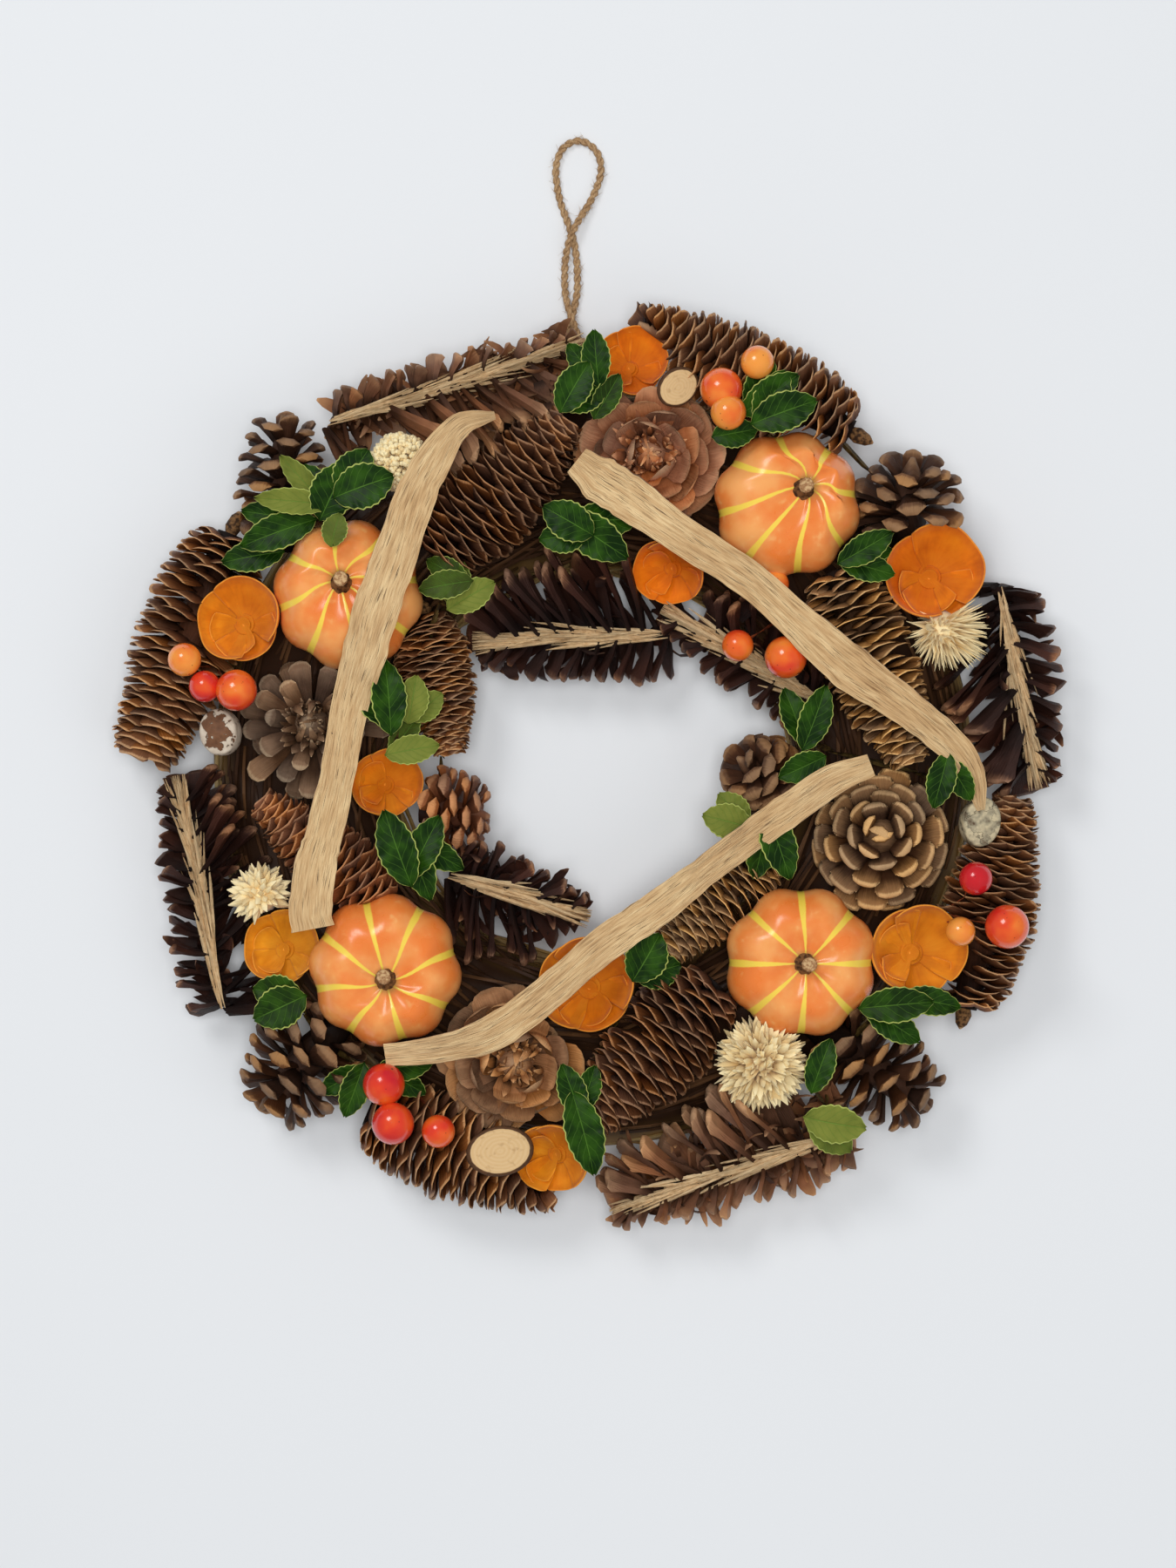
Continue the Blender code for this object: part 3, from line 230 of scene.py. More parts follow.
# Leafy sprays: stem points, leaves as (x, y and z of the middle, heading, length, width, tone),
# where tone 0 is the dark upper side and 1 the pale underside.
LEAVES = {
    "leaves_top_left": ([(-92, 100, 17.6), (-98, 102, 38), (-112, 95, 38)], [
        (-86, 104.5, 53, 20, 22, 14, 0), (-97.5, 103, 49, 65, 22, 14, 0),
        (-112, 99.5, 48, 175, 27, 8, 1), (-118, 88, 44, 200, 28, 11, 0),
        (-128, 79, 40, 190, 22, 10, 0), (-96, 88, 59, 75, 12, 8, 0.5)]),
    "leaves_top": ([(-2, 146, 21), (-3, 140, 40), (1, 132, 22), (0, 104, 20), (-2, 93, 34)], [
        (-7, 142, 50, 60, 20, 11, 0), (1.5, 153, 48, 95, 20, 9, 0), (5, 139, 46, 60, 18, 8, 0.3),
        (-9, 92, 50, 150, 20, 12, 0), (1, 87, 46, 325, 27, 13, 0)]),
    "leaves_inner_left": ([(-52, 70, 20), (-58, 62, 40), (-66, 38, 22), (-70, 24, 40),
                           (-58, 4, 22), (-58, -18, 22), (-68, -30, 38)], [
        (-55, 68, 47, 190, 19, 9, 0.4), (-46, 64, 44, 30, 19, 10, 0.8),
        (-77, 25.5, 51, 95, 26, 11, 0), (-68, 25, 46, 80, 17, 10, 1), (-68, 6, 47, 10, 19, 9, 0.8),
        (-73, -31, 48, 110, 28, 12, 0), (-66, -37, 42, 290, 26, 10, 0.2)]),
    "leaves_top_right": ([(58, 131, 44), (72, 133, 44), (92, 127, 22), (106, 112, 22),
                          (106, 96, 22), (102, 80, 36)], [
        (66, 139, 54, 35, 24, 10, 0), (71, 132, 58, 20, 24, 12, 0), (53, 125, 52, 10, 16, 9, 0),
        (102, 82, 48, 30, 22, 9, 0), (103, 75, 43, 345, 20, 9, 0)]),
    "leaves_right": ([(132, -6, 38), (124, -2, 20), (92, 6, 22), (84, 9, 38), (76, -12, 24),
                      (68, -24, 38)], [
        (131, -5, 46, 255, 20, 9, 0), (83, 18, 46, 70, 24, 10, 0), (79, 0, 44, 205, 18, 9, 0),
        (51, -21, 41, 165, 18, 11, 1), (69, -29, 47, 290, 26, 11, 0)]),
    "leaves_bottom_right": ([(112, -97, 20), (107, -94, 36), (92, -110, 22), (88, -128, 34)], [
        (114, -90, 42, 5, 26, 11, 0.2), (127, -89, 38, 350, 22, 9, 0),
        (91, -134, 43, 350, 22, 12, 1), (86, -113, 44, 70, 20, 9, 0)]),
    "leaves_bottom": ([(18, -80, 22), (12, -92, 20), (2, -108, 20), (-4, -122, 36)], [
        (20, -72, 45, 60, 19, 13, 0), (-8, -122, 51, 110, 20, 9, 0),
        (-4, -137, 52, 285, 30, 12, 0)]),
    "leaves_bottom_left": ([(-84, -116, 30), (-92, -113, 21), (-104, -102, 24), (-109, -94, 32)], [
        (-90, -122, 38, 250, 20, 9, 0), (-71, -113, 38, 10, 20, 9, 0),
        (-118, -91, 38, 205, 20, 13, 0.3)]),
}

RING_RADIUS, RING_HALF_WIDTH = 112, 34.5

# The twine loop's centre line, from its first end on the ring round to its second end.
TWINE_ROUTE = [
    (-10.4, 144.5, 20.0), (-10.5, 150.5, 17.0), (-10.6, 153.5, 10.0), (-10.6, 158.0, 3.8),
    (-10.0, 163.5, 2.0), (-9.4, 168.5, 1.9), (-8.3, 173.5, 1.9), (-6.9, 178.5, 1.9),
    (-6.0, 184.0, 1.9), (-5.9, 190.0, 1.9), (-6.2, 196.0, 1.9), (-7.0, 202.0, 1.9),
    (-8.6, 207.6, 1.9), (-10.6, 213.0, 1.9), (-12.6, 219.0, 1.9), (-13.8, 225.5, 1.9),
    (-14.2, 232.0, 1.9), (-12.0, 238.6, 1.9), (-7.0, 242.0, 1.9), (-1.6, 241.0, 1.9),
    (2.4, 236.4, 1.9), (3.2, 230.0, 1.9), (1.4, 223.6, 2.0), (-1.6, 217.4, 2.6),
    (-4.6, 212.4, 4.2), (-7.2, 207.6, 5.4), (-9.2, 202.6, 5.2), (-10.4, 197.0, 3.0),
    (-10.8, 191.0, 2.0), (-10.7, 185.0, 2.4), (-9.9, 179.5, 4.3), (-8.3, 174.0, 5.3),
    (-6.4, 168.5, 4.8), (-5.0, 163.5, 3.0), (-4.2, 158.0, 3.8), (-4.2, 153.5, 10.0),
    (-4.4, 150.5, 17.0), (-4.6, 144.5, 20.0),
]


# Handling of objects

def deselect():
    bpy.ops.object.select_all(action="DESELECT")


def activate(*objects):
    deselect()
    for obj in objects:
        obj.select_set(True)
    bpy.context.view_layer.objects.active = objects[-1]


def active():
    return bpy.context.view_layer.objects.active


def apply_modifier(obj, kind, **settings):
    """Adds a modifier with these settings and applies it."""
    activate(obj)
    step = obj.modifiers.new(kind.title(), kind)
    for name, value in settings.items():
        setattr(step, name, value)
    bpy.ops.object.modifier_apply(modifier=step.name)


def subdivide_smooth(obj):
    apply_modifier(obj, "SUBSURF", levels=1, render_levels=1)


def select_points(obj, test):
    """Selects the vertices, in edit mode, whose place passes the test."""
    shape = bmesh.from_edit_mesh(obj.data)
    bpy.ops.mesh.select_all(action="DESELECT")
    for vert in shape.verts:
        vert.select = test(vert.co)
    shape.select_flush_mode()
    bmesh.update_edit_mesh(obj.data)


def select_faces(obj, test):
    """Selects the faces, in edit mode, whose centre passes the test."""
    bpy.ops.mesh.select_mode(type="FACE")
    shape = bmesh.from_edit_mesh(obj.data)
    bpy.ops.mesh.select_all(action="DESELECT")
    for face in shape.faces:
        face.select = test(face.calc_center_median())
    shape.select_flush_mode()
    bmesh.update_edit_mesh(obj.data)


def points_of(mesh):
    flat = np.empty(len(mesh.vertices) * 3)
    mesh.vertices.foreach_get("co", flat)
    return flat.reshape(-1, 3)


def set_grain(obj, across, along, shade=0.5):
    """Keeps for each point its place across and along its piece, and a shade, for the materials."""
    mesh = obj.data
    if "grain" not in mesh.attributes:
        mesh.attributes.new("grain", "FLOAT_VECTOR", "POINT")
    values = np.empty((len(mesh.vertices), 3), np.float32)
    values[:, 0], values[:, 1], values[:, 2] = across, along, shade
    mesh.attributes["grain"].data.foreach_set("vector", values.ravel())


def grown_bar(name, sides, stations, material, cup=0.0):
    """A bar up +Z from a short cylinder, whose top is extruded from station to station.

    A station is (height, shift along X, width along Y, thickness along X). A cupped bar has its
    long edges drawn back from +X."""
    deselect()
    bottom, above, top = stations[0][0], stations[1][0], stations[-1][0]
    bpy.ops.mesh.primitive_cylinder_add(vertices=sides, radius=0.5, depth=above - bottom,
                                        location=(0, 0, (bottom + above) / 2))
    bar = active()
    bar.name = bar.data.name = name
    bpy.ops.object.transform_apply(location=True, rotation=True, scale=True)
    bpy.ops.object.mode_set(mode="EDIT")
    for z, x, w, t in stations[:2]:
        select_faces(bar, lambda c, z=z: abs(c.z - z) < 1e-6)
        bpy.ops.transform.resize(value=(t, w, 1), center_override=(0, 0, z))
        bpy.ops.transform.translate(value=(x, 0, 0))
    for (z0, x0, w0, t0), (z1, x1, w1, t1) in zip(stations[1:], stations[2:]):
        bpy.ops.mesh.extrude_region_move(TRANSFORM_OT_translate={"value": (x1 - x0, 0, z1 - z0)})
        bpy.ops.transform.resize(value=(t1 / t0, w1 / w0, 1), center_override=(x1, 0, z1))
    if cup:
        for height, _, wide, _ in stations:
            for least, most, share in ((0.40, 1.0, 1.0), (0.30, 0.40, 0.5)):
                select_points(bar, lambda p, z=height, a=least * wide, b=most * wide:
                              abs(p.z - z) < 1e-5 and a < abs(p.y) < b)
                bpy.ops.transform.translate(value=(-cup * share * wide * wide, 0, 0))
    bpy.ops.object.mode_set(mode="OBJECT")
    bar.data.materials.append(material)
    points = points_of(bar.data)
    widest = max(s[2] for s in stations) / 2
    set_grain(bar, points[:, 1] / widest * 0.5 + 0.5, (points[:, 2] - bottom) / (top - bottom))
    bpy.ops.object.shade_smooth_by_angle(angle=math.radians(50))
    return bar


def put_copies(name, places):
    """Copies of modelled shapes, each with its own mesh, joined as one piece.

    A place is (shape, matrix, shade)."""
    made = []
    for shape, matrix, shade in places:
        mesh = shape.data.copy()
        mesh.transform(matrix)
        grain = mesh.attributes["grain"].data
        values = np.empty(len(mesh.vertices) * 3, np.float32)
        grain.foreach_get("vector", values)
        values[2::3] = shade
        grain.foreach_set("vector", values)
        copy = bpy.data.objects.new(name, mesh)
        bpy.context.scene.collection.objects.link(copy)
        made.append(copy)
    return join_as(name, made)


def join_as(name, objects):
    activate(*objects)
    if len(objects) > 1:
        bpy.ops.object.join()
    joined = active()
    joined.name = joined.data.name = name
    return joined


def drop(objects):
    for obj in objects:
        mesh = obj.data
        bpy.data.objects.remove(obj)
        bpy.data.meshes.remove(mesh)


def settle(piece, node, slot):
    """Puts a finished piece on the wreath's one body, in place of its node of the part."""
    activate(piece)
    bpy.ops.object.transform_apply(location=True, rotation=True, scale=True)
    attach(piece, "root")
    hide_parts(node)


# Places

def axis_place(base, tip, roll=0.0):
    """The matrix, in metres, that takes local +Z along the line from base to tip."""
    base, tip = Vector(base), Vector(tip)
    z = (tip - base).normalized()
    side = UP if abs(z.z) < 0.9 else Vector((0, 1, 0))
    x = side.cross(z).normalized()
    y = z.cross(x)
    turn = Matrix((x, y, z)).transposed().to_4x4() @ rotated(roll, "Z")
    return Matrix.Translation(base * MM) @ turn


def sized(length, width, thick):
    """A unit shape's size in millimetres: length along Z, width along Y, thickness along X."""
    return Matrix.Diagonal((thick * MM, width * MM, length * MM, 1.0))


def rotated(degrees, axis):
    return Matrix.Rotation(math.radians(degrees), 4, axis)


def shifted(x, y, z):
    """A shift in millimetres."""
    return Matrix.Translation(Vector((x, y, z)) * MM)


def out_from_axis(turn, out, height, lean):
    """Out from the local Z axis at this turn, and leant from it, in degrees and millimetres."""
    return rotated(turn, "Z") @ shifted(out, 0, height) @ rotated(lean, "Y")


def clears_floor(place):
    """True if the end of a unit shape stays above the surface."""
    return (place @ UP).z > LEAST_TIP_HEIGHT * MM


def lifted(shape, place):
    """The place, raised where a copy of the shape would reach under the surface."""
    row = np.array(place)[2]
    low = (points_of(shape.data) @ row[:3] + row[3]).min()
    return Matrix.Translation((0, 0, max(0.0, LEAST_HEIGHT * MM - low))) @ place


def cup_tilt(lean):
    """The way that a cup with this lean opens."""
    x, y = (math.sin(math.radians(angle)) for angle in lean)
    return Vector((x, y * 0.6, 1.6)).normalized()


def in_a_cup(point, margin=1.1):
    """True if the point, in millimetres, lies over a cup's mouth."""
    for foot, lean, radius, *_ in CUPS.values():
        mouth = Vector(foot) + cup_tilt(lean) * radius
        if math.hypot(point.x - mouth.x, point.y - mouth.y) < radius * margin:
            return True
    return False


def clears_neighbours(place, ends=((0, 0, 0.6), (0, 0, 1), (0, 0.4, 0.85), (0, -0.4, 0.85))):
    """True if these places of a unit shape all keep out of the cups, the heads and the pumpkins."""
    rounds = [(centre, radius) for centre, radius, _ in HEADS.values()]
    rounds += [(centre, radius * 0.9) for centre, radius, *_ in PUMPKINS.values()]
    for end in ends:
        end = place @ Vector(end) / MM
        in_a_round = any(math.hypot(end.x - c[0], end.y - c[1]) < radius for c, radius in rounds)
        if end.z > NEIGHBOUR_HEIGHT and (in_a_cup(end) or in_a_round):
            return False
    return True


def smooth_route(points, steps):
    """Points read from a smooth curve through the route's own points."""
    points = [Vector(p) for p in points]
    ends = [points[0] * 2 - points[1], *points, points[-1] * 2 - points[-2]]
    route = []
    for p0, p1, p2, p3 in zip(ends, ends[1:], ends[2:], ends[3:]):
        for i in range(steps):
            t = i / steps
            route.append(0.5 * (2 * p1 + (p2 - p0) * t + (2 * p0 - 5 * p1 + 4 * p2 - p3) * t * t
                                + (3 * p1 - p0 - 3 * p2 + p3) * t ** 3))
    return route + [points[-1]]


# Materials

def rgb(red, green, blue):
    """A colour as a screen shows it, turned into the linear values that Blender works in."""
    return tuple(((c + 0.055) / 1.055) ** 2.4 if c > 0.04045 else c / 12.92
                 for c in (red, green, blue)) + (1.0,)


class Signal:
    """An output socket, with Python's arithmetic."""

    def __init__(self, finish, socket):
        self.finish, self.socket = finish, socket

    def maths(self, operation, *others, clamp=False):
        settings = {"operation": operation, "use_clamp": clamp}
        return self.finish.node("ShaderNodeMath", settings, dict(enumerate((self, *others))))[0]

    def __add__(self, other):
        return self.maths("ADD", other)

    def __sub__(self, other):
        return self.maths("SUBTRACT", other)

    def __rsub__(self, other):
        return self.finish.number(other).maths("SUBTRACT", self)

    def __mul__(self, other):
        return self.maths("MULTIPLY", other)

    def __truediv__(self, other):
        return self.maths("DIVIDE", other)

    def __pow__(self, other):
        return self.maths("POWER", other)

    __radd__, __rmul__ = __add__, __mul__

    def steep(self, start, end):
        """0 below start, 1 above end, and smooth between."""
        made = self.finish.node("ShaderNodeMapRange", {"interpolation_type": "SMOOTHSTEP"}, {
            "Value": self, "From Min": start, "From Max": end})
        return made["Result"]


class Outputs:
    def __init__(self, finish, made):
        self.finish, self.made = finish, made

    def __getitem__(self, key):
        return Signal(self.finish, self.made.outputs[key])


class Finish:
    """A procedural material, written as expressions."""

    def __init__(self, name, roughness, **constants):
        self.made = bpy.data.materials.new(name)
        self.made.use_nodes = True
        self.tree = self.made.node_tree
        self.shader = self.tree.nodes["Principled BSDF"]
        self.shader.inputs["Roughness"].default_value = roughness
        for socket, value in constants.items():
            self.shader.inputs[socket.replace("_", " ")].default_value = value
        grain = self.node("ShaderNodeSeparateXYZ", {}, {0: self.node(
            "ShaderNodeAttribute", {"attribute_name": "grain"}, {})["Vector"]})
        self.across, self.along, self.shade = grain[0], grain[1], grain[2]
        self.place = self.node("ShaderNodeTexCoord", {}, {})["Object"]

    def node(self, kind, settings, sockets):
        made = self.tree.nodes.new(kind)
        for name, value in settings.items():
            if name == "stops":
                ramp = made.color_ramp.elements
                while len(ramp) < len(value):
                    ramp.new(0.5)
                for stop, (at, colour) in zip(ramp, value):
                    stop.position, stop.color = at, colour
            else:
                setattr(made, name, value)
        for key, value in sockets.items():
            if isinstance(value, Signal):
                self.tree.links.new(value.socket, made.inputs[key])
            else:
                made.inputs[key].default_value = value
        return Outputs(self, made)

    def number(self, value):
        return self.node("ShaderNodeMath", {"operation": "ADD"}, {0: value, 1: 0.0})[0]

    def noise(self, scale, detail=3.0, stretch=None):
        """Noise on the object's own place, which a stretch multiplies axis by axis."""
        place = self.place
        if stretch:
            place = self.node("ShaderNodeVectorMath", {"operation": "MULTIPLY"},
                              {0: place, 1: stretch})["Vector"]
        return self.node("ShaderNodeTexNoise", {}, {
            "Vector": place, "Scale": scale, "Detail": detail})["Fac"]

    def grain_noise(self, across, along, detail=2.0):
        """Noise on the piece's own grain, stretched, and different for each copy."""
        own = self.node("ShaderNodeCombineXYZ", {}, {
            0: self.across * across, 1: self.along * along, 2: self.shade * 37.0})["Vector"]
        sockets = {"Vector": own, "Scale": 1.0, "Detail": detail}
        return self.node("ShaderNodeTexNoise", {}, sockets)["Fac"]

    def mix(self, share, low, high):
        return self.node("ShaderNodeMix", {"data_type": "RGBA", "clamp_factor": True}, {
            0: share, 6: low, 7: high})[2]

    def ramp(self, share, *stops):
        return self.node("ShaderNodeValToRGB", {"stops": stops}, {0: share})["Color"]

    def colour(self, value):
        self.tree.links.new(value.socket, self.shader.inputs["Base Color"])
        return self

    def rough(self, value):
        self.tree.links.new(value.socket, self.shader.inputs["Roughness"])
        return self

    def bump(self, height, strength, distance=0.0005):
        raised = self.node("ShaderNodeBump", {}, {
            "Height": height, "Strength": strength, "Distance": distance})["Normal"]
        self.tree.links.new(raised.socket, self.shader.inputs["Normal"])
        return self


def cone_finish(name, dark, middle, tip, edge, start):
    """Cone scales: dark inside as painted shade of the gaps between them, lighter to the tip, with
    fibres along them and a thin lighter edge.
    """
    look = Finish(name, 0.6, Specular_IOR_Level=0.35)
    fibres = look.grain_noise(30.0, 2.5, 3.0)
    patches = look.noise(170.0, 4.0)
    reach = look.along + (fibres - 0.5) * 0.20 + (patches - 0.5) * 0.16
    # Painted shade: each scale is dark towards its foot, standing in for the shadow in the gaps
    # between the scales.
    body = look.mix(reach.steep(0.05, start), dark, middle)
    tipped = look.mix(reach.steep(start, 0.98), body, tip)
    off_middle = (look.across - 0.5).maths("ABSOLUTE") * 2.0
    rim = (look.along + (off_middle ** 3.0) * 0.10 + (fibres - 0.5) * 0.05).steep(0.93, 0.98)
    tipped = look.mix(rim * 0.9, tipped, edge)
    shaded = look.node("ShaderNodeHueSaturation", {}, {
        "Saturation": 0.92 + look.shade * 0.2,
        "Value": 0.62 + look.shade * 0.66 + (patches - 0.5) * 0.7,
        "Color": tipped})["Color"]
    look.colour(shaded)
    look.rough(0.74 - reach * 0.2)
    return look.bump(fibres + patches * 0.6, 0.7, 0.0007).made


def straw_finish():
    look = Finish("straw_stalks", 0.6)
    streaks = look.grain_noise(9.0, 3.0)
    tone = look.ramp(look.shade * 0.6 + streaks * 0.5, (0.0, rgb(0.36, 0.25, 0.13)),
                     (0.45, rgb(0.66, 0.52, 0.30)), (1.0, rgb(0.88, 0.78, 0.54)))
    # Painted shade: the ring's top, seen only in the gaps between the pieces, is darkened to stand
    # in for their shadow.
    painted_gap_shade = look.ramp(look.shade * 0.6 + streaks * 0.5, (0.0, rgb(0.10, 0.06, 0.04)),
                        (0.55, rgb(0.24, 0.15, 0.09)), (1.0, rgb(0.42, 0.29, 0.18)))
    height = look.node("ShaderNodeSeparateXYZ", {}, {0: look.place})[2]
    look.colour(look.mix(height.steep(0.004, 0.012), tone, painted_gap_shade))
    return look.bump(streaks, 0.4, 0.0003).made


def jute_finish():
    look = Finish("jute_twine", 0.92)
    fibres = look.noise(2600.0, 3.0, (1.0, 0.35, 1.0))
    patches = look.noise(220.0)
    tone = look.ramp(fibres * 0.75 + patches * 0.3, (0.25, rgb(0.40, 0.29, 0.19)),
                     (0.5, rgb(0.66, 0.52, 0.37)), (0.78, rgb(0.86, 0.75, 0.58)))
    look.colour(tone)
    return look.bump(fibres, 0.8, 0.0004).made


def pumpkin_finish():
    """Salmon skin, with yellow stripes that run out from the stem in the grooves."""
    look = Finish("pumpkin_skin", 0.3, Coat_Weight=0.35, Coat_Roughness=0.2, Subsurface_Weight=0.05)
    mottle = look.noise(60.0, 4.0)
    wander = look.noise(110.0, 2.0)
    skin = look.mix(mottle.steep(0.35, 0.7), rgb(0.95, 0.51, 0.22), rgb(0.98, 0.67, 0.38))
    skin = look.mix(look.noise(240.0, 3.0).steep(0.60, 0.78) * 0.3, skin, rgb(0.99, 0.80, 0.52))
    width = (0.16 - look.along * 0.05) * (0.7 + wander * 0.6)
    stripe = 1.0 - (look.across / width).steep(0.72, 1.15)
    stripe = stripe * (1.0 - (look.along - 0.6).steep(0.0, 0.12))
    skin = look.mix(stripe, skin, rgb(0.98, 0.84, 0.32))
    look.colour(look.mix(1.0 - look.along.steep(0.02, 0.07), skin, rgb(0.70, 0.50, 0.22)))
    look.rough(0.22 + mottle * 0.14)
    return look.bump(look.noise(520.0, 2.0), 0.06, 0.0003).made


def pumpkin_stem_finish():
    look = Finish("pumpkin_stem", 0.85)
    fibres = look.noise(700.0, 3.0, (1.0, 1.0, 0.15))
    side = look.mix(fibres.steep(0.35, 0.65), rgb(0.20, 0.13, 0.08), rgb(0.50, 0.36, 0.22))
    look.colour(look.mix(look.along.steep(0.86, 0.97), side, look.mix(
        look.noise(900.0).steep(0.4, 0.6), rgb(0.62, 0.45, 0.30), rgb(0.80, 0.66, 0.48))))
    return look.bump(fibres, 0.9, 0.0006).made


def berry_finish():
    """Orange to red skin by the berry's shade, with a blush to one side and small dark specks."""
    look = Finish("berry_skin", 0.2, Coat_Weight=0.6, Coat_Roughness=0.08, Subsurface_Weight=0.06)
    blush = look.noise(85.0, 2.0)
    redness = (look.shade + (blush - 0.5) * 1.5).maths("ADD", 0.0, clamp=True)
    skin = look.ramp(redness, (0.0, rgb(0.98, 0.62, 0.26)), (0.4, rgb(0.95, 0.42, 0.14)),
                     (0.7, rgb(0.90, 0.24, 0.12)), (1.0, rgb(0.80, 0.10, 0.14)))
    specks = look.node("ShaderNodeTexVoronoi", {}, {
        "Vector": look.place, "Scale": 360.0})["Distance"]
    skin = look.mix((1.0 - specks.steep(0.07, 0.13)) * 0.5, skin, rgb(0.40, 0.12, 0.05))
    look.colour(look.mix(look.along.steep(0.996, 0.998), skin, rgb(0.34, 0.14, 0.07)))
    return look.bump(look.noise(600.0, 2.0), 0.05, 0.0002).made


def stem_finish(name, dark, light):
    look = Finish(name, 0.6)
    look.colour(look.mix(look.noise(500.0, 3.0).steep(0.35, 0.65), dark, light))
    return look.bump(look.noise(900.0), 0.4, 0.0003).made


def shaving_finish():
    """Dyed wood shaving: matt orange with fine crosswise fibres and a pale thin rim, darker towards
    the foot as painted shade in the cup's depth.
    """
    look = Finish("dyed_shaving", 0.8, Sheen_Weight=0.08)
    fibres = look.grain_noise(30.0, 3.0, 3.0)
    patches = look.noise(140.0, 3.0)
    tone = fibres * 0.3 + patches * 0.7
    dyed = look.ramp(tone, (0.25, rgb(0.79, 0.35, 0.01)), (0.5, rgb(0.90, 0.45, 0.02)),
                     (0.8, rgb(0.95, 0.53, 0.06)))
    gold = look.ramp(tone, (0.25, rgb(0.79, 0.48, 0.05)), (0.5, rgb(0.89, 0.59, 0.10)),
                     (0.8, rgb(0.95, 0.68, 0.17)))
    dyed = look.mix(look.shade, dyed, gold)
    # Painted shade: the lower part of each petal goes deeper orange, standing in for the shade down
    # in the cup.
    dyed = look.mix((1.0 - look.along.steep(0.05, 0.55)) * 0.35, dyed,
                    look.mix(look.shade, rgb(0.50, 0.18, 0.00), rgb(0.56, 0.29, 0.02)))
    look.colour(look.mix((look.along + (fibres - 0.5) * 0.04).steep(0.985, 1.0) * 0.4, dyed,
                         rgb(0.95, 0.66, 0.30)))
    return look.bump(fibres * 0.5 + patches, 0.25, 0.0004).made


def cream_finish():
    look = Finish("dried_bracts", 0.72, Sheen_Weight=0.2)
    fibres = look.grain_noise(12.0, 2.0)
    tone = look.mix((look.along + (fibres - 0.5) * 0.3).steep(0.0, 0.75), rgb(0.80, 0.64, 0.40),
                    rgb(0.98, 0.91, 0.72))
    look.colour(look.mix(look.shade.steep(0.6, 1.0) * 0.45, tone, rgb(0.86, 0.68, 0.36)))
    return look.bump(fibres, 0.5, 0.0003).made


def rib_finish():
    """The pale sawn core: frayed fibres along it."""
    look = Finish("sawn_core", 0.8)
    fibres = look.grain_noise(22.0, 5.0, 4.0)
    cracks = look.noise(520.0, 4.0)
    tone = look.ramp(fibres * 0.7 + cracks * 0.3, (0.28, rgb(0.56, 0.38, 0.23)),
                     (0.42, rgb(0.84, 0.67, 0.47)), (0.60, rgb(0.97, 0.85, 0.66)))
    look.colour(look.mix(look.shade.steep(0.55, 1.0) * 0.5, tone, rgb(0.97, 0.86, 0.68)))
    return look.bump(fibres + cracks * 0.5, 0.9, 0.0006).made


def leaf_finish():
    """Glossy green with pale veins and a thin pale margin; shade 1 is the paler underside."""
    look = Finish("leaf_blade", 0.4, Specular_IOR_Level=0.25)
    mottle = look.noise(150.0, 4.0)
    blade = look.mix(mottle.steep(0.35, 0.7), rgb(0.06, 0.16, 0.02), rgb(0.16, 0.30, 0.04))
    blade = look.mix(look.shade.steep(0.25, 0.9), blade,
                     look.mix(mottle, rgb(0.34, 0.40, 0.14), rgb(0.54, 0.56, 0.24)))
    off_rib = (look.across - 0.5).maths("ABSOLUTE") * 2.0
    slant = (look.along * 7.0 - off_rib * 2.0 + (mottle - 0.5) * 0.5).maths("FRACT")
    side_vein = 1.0 - (slant - 0.5).maths("ABSOLUTE").steep(0.02, 0.06)
    rib = 1.0 - off_rib.steep(0.01, 0.05)
    veins = rib.maths("MAXIMUM", side_vein * 0.6)
    blade = look.mix(veins * 0.45, blade, rgb(0.40, 0.58, 0.22))
    edge = (off_rib + (look.noise(420.0) - 0.5) * 0.04).steep(0.93, 0.985)
    look.colour(look.mix(edge * 0.9, blade, rgb(0.72, 0.76, 0.40)))
    look.rough(0.40 + mottle * 0.15 + look.shade * 0.2)
    return look.bump(mottle * 0.5 - veins * 0.8, 0.6, 0.0006).made


def strip_finish():
    """Straw-coloured dried leaf with fine dark streaks and cracks along it."""
    look = Finish("dried_strip", 0.74, Sheen_Weight=0.15)
    streaks = look.grain_noise(34.0, 7.0, 4.0)
    bands = look.grain_noise(7.0, 3.0, 2.0)
    patches = look.noise(45.0, 3.0)
    tone = look.ramp(streaks * 0.45 + bands * 0.35 + patches * 0.2, (0.30, rgb(0.50, 0.36, 0.22)),
                     (0.45, rgb(0.79, 0.64, 0.45)), (0.64, rgb(0.93, 0.81, 0.61)))
    cracks = look.grain_noise(70.0, 6.0, 3.0).steep(0.57, 0.63) * bands.steep(0.42, 0.56)
    look.colour(look.mix(cracks * 0.85, tone, rgb(0.30, 0.19, 0.10)))
    return look.bump(streaks + bands, 0.8, 0.0007).made


def slice_finish():
    """A sawn face with year rings, darker patches and a thin dark bark."""
    look = Finish("wood_slice", 0.75)
    x, y = look.across - 0.5, look.along - 0.5
    out = (x * x + y * y) ** 0.5 * 2.0
    warp = look.noise(170.0, 3.0)
    rings = ((out * 7.0 + warp * 1.6) * math.tau).maths("SINE") * 0.5 + 0.5
    face = look.mix(rings, rgb(0.84, 0.70, 0.50), rgb(0.86, 0.73, 0.54))
    face = look.mix(look.noise(420.0, 4.0).steep(0.55, 0.72) * 0.35, face, rgb(0.58, 0.42, 0.24))
    look.colour(look.mix(out.steep(0.87, 0.91), face, look.mix(
        look.noise(600.0, 3.0), rgb(0.16, 0.10, 0.06), rgb(0.42, 0.28, 0.17))))
    return look.bump(rings * 0.15 + warp, 0.4, 0.0003).made


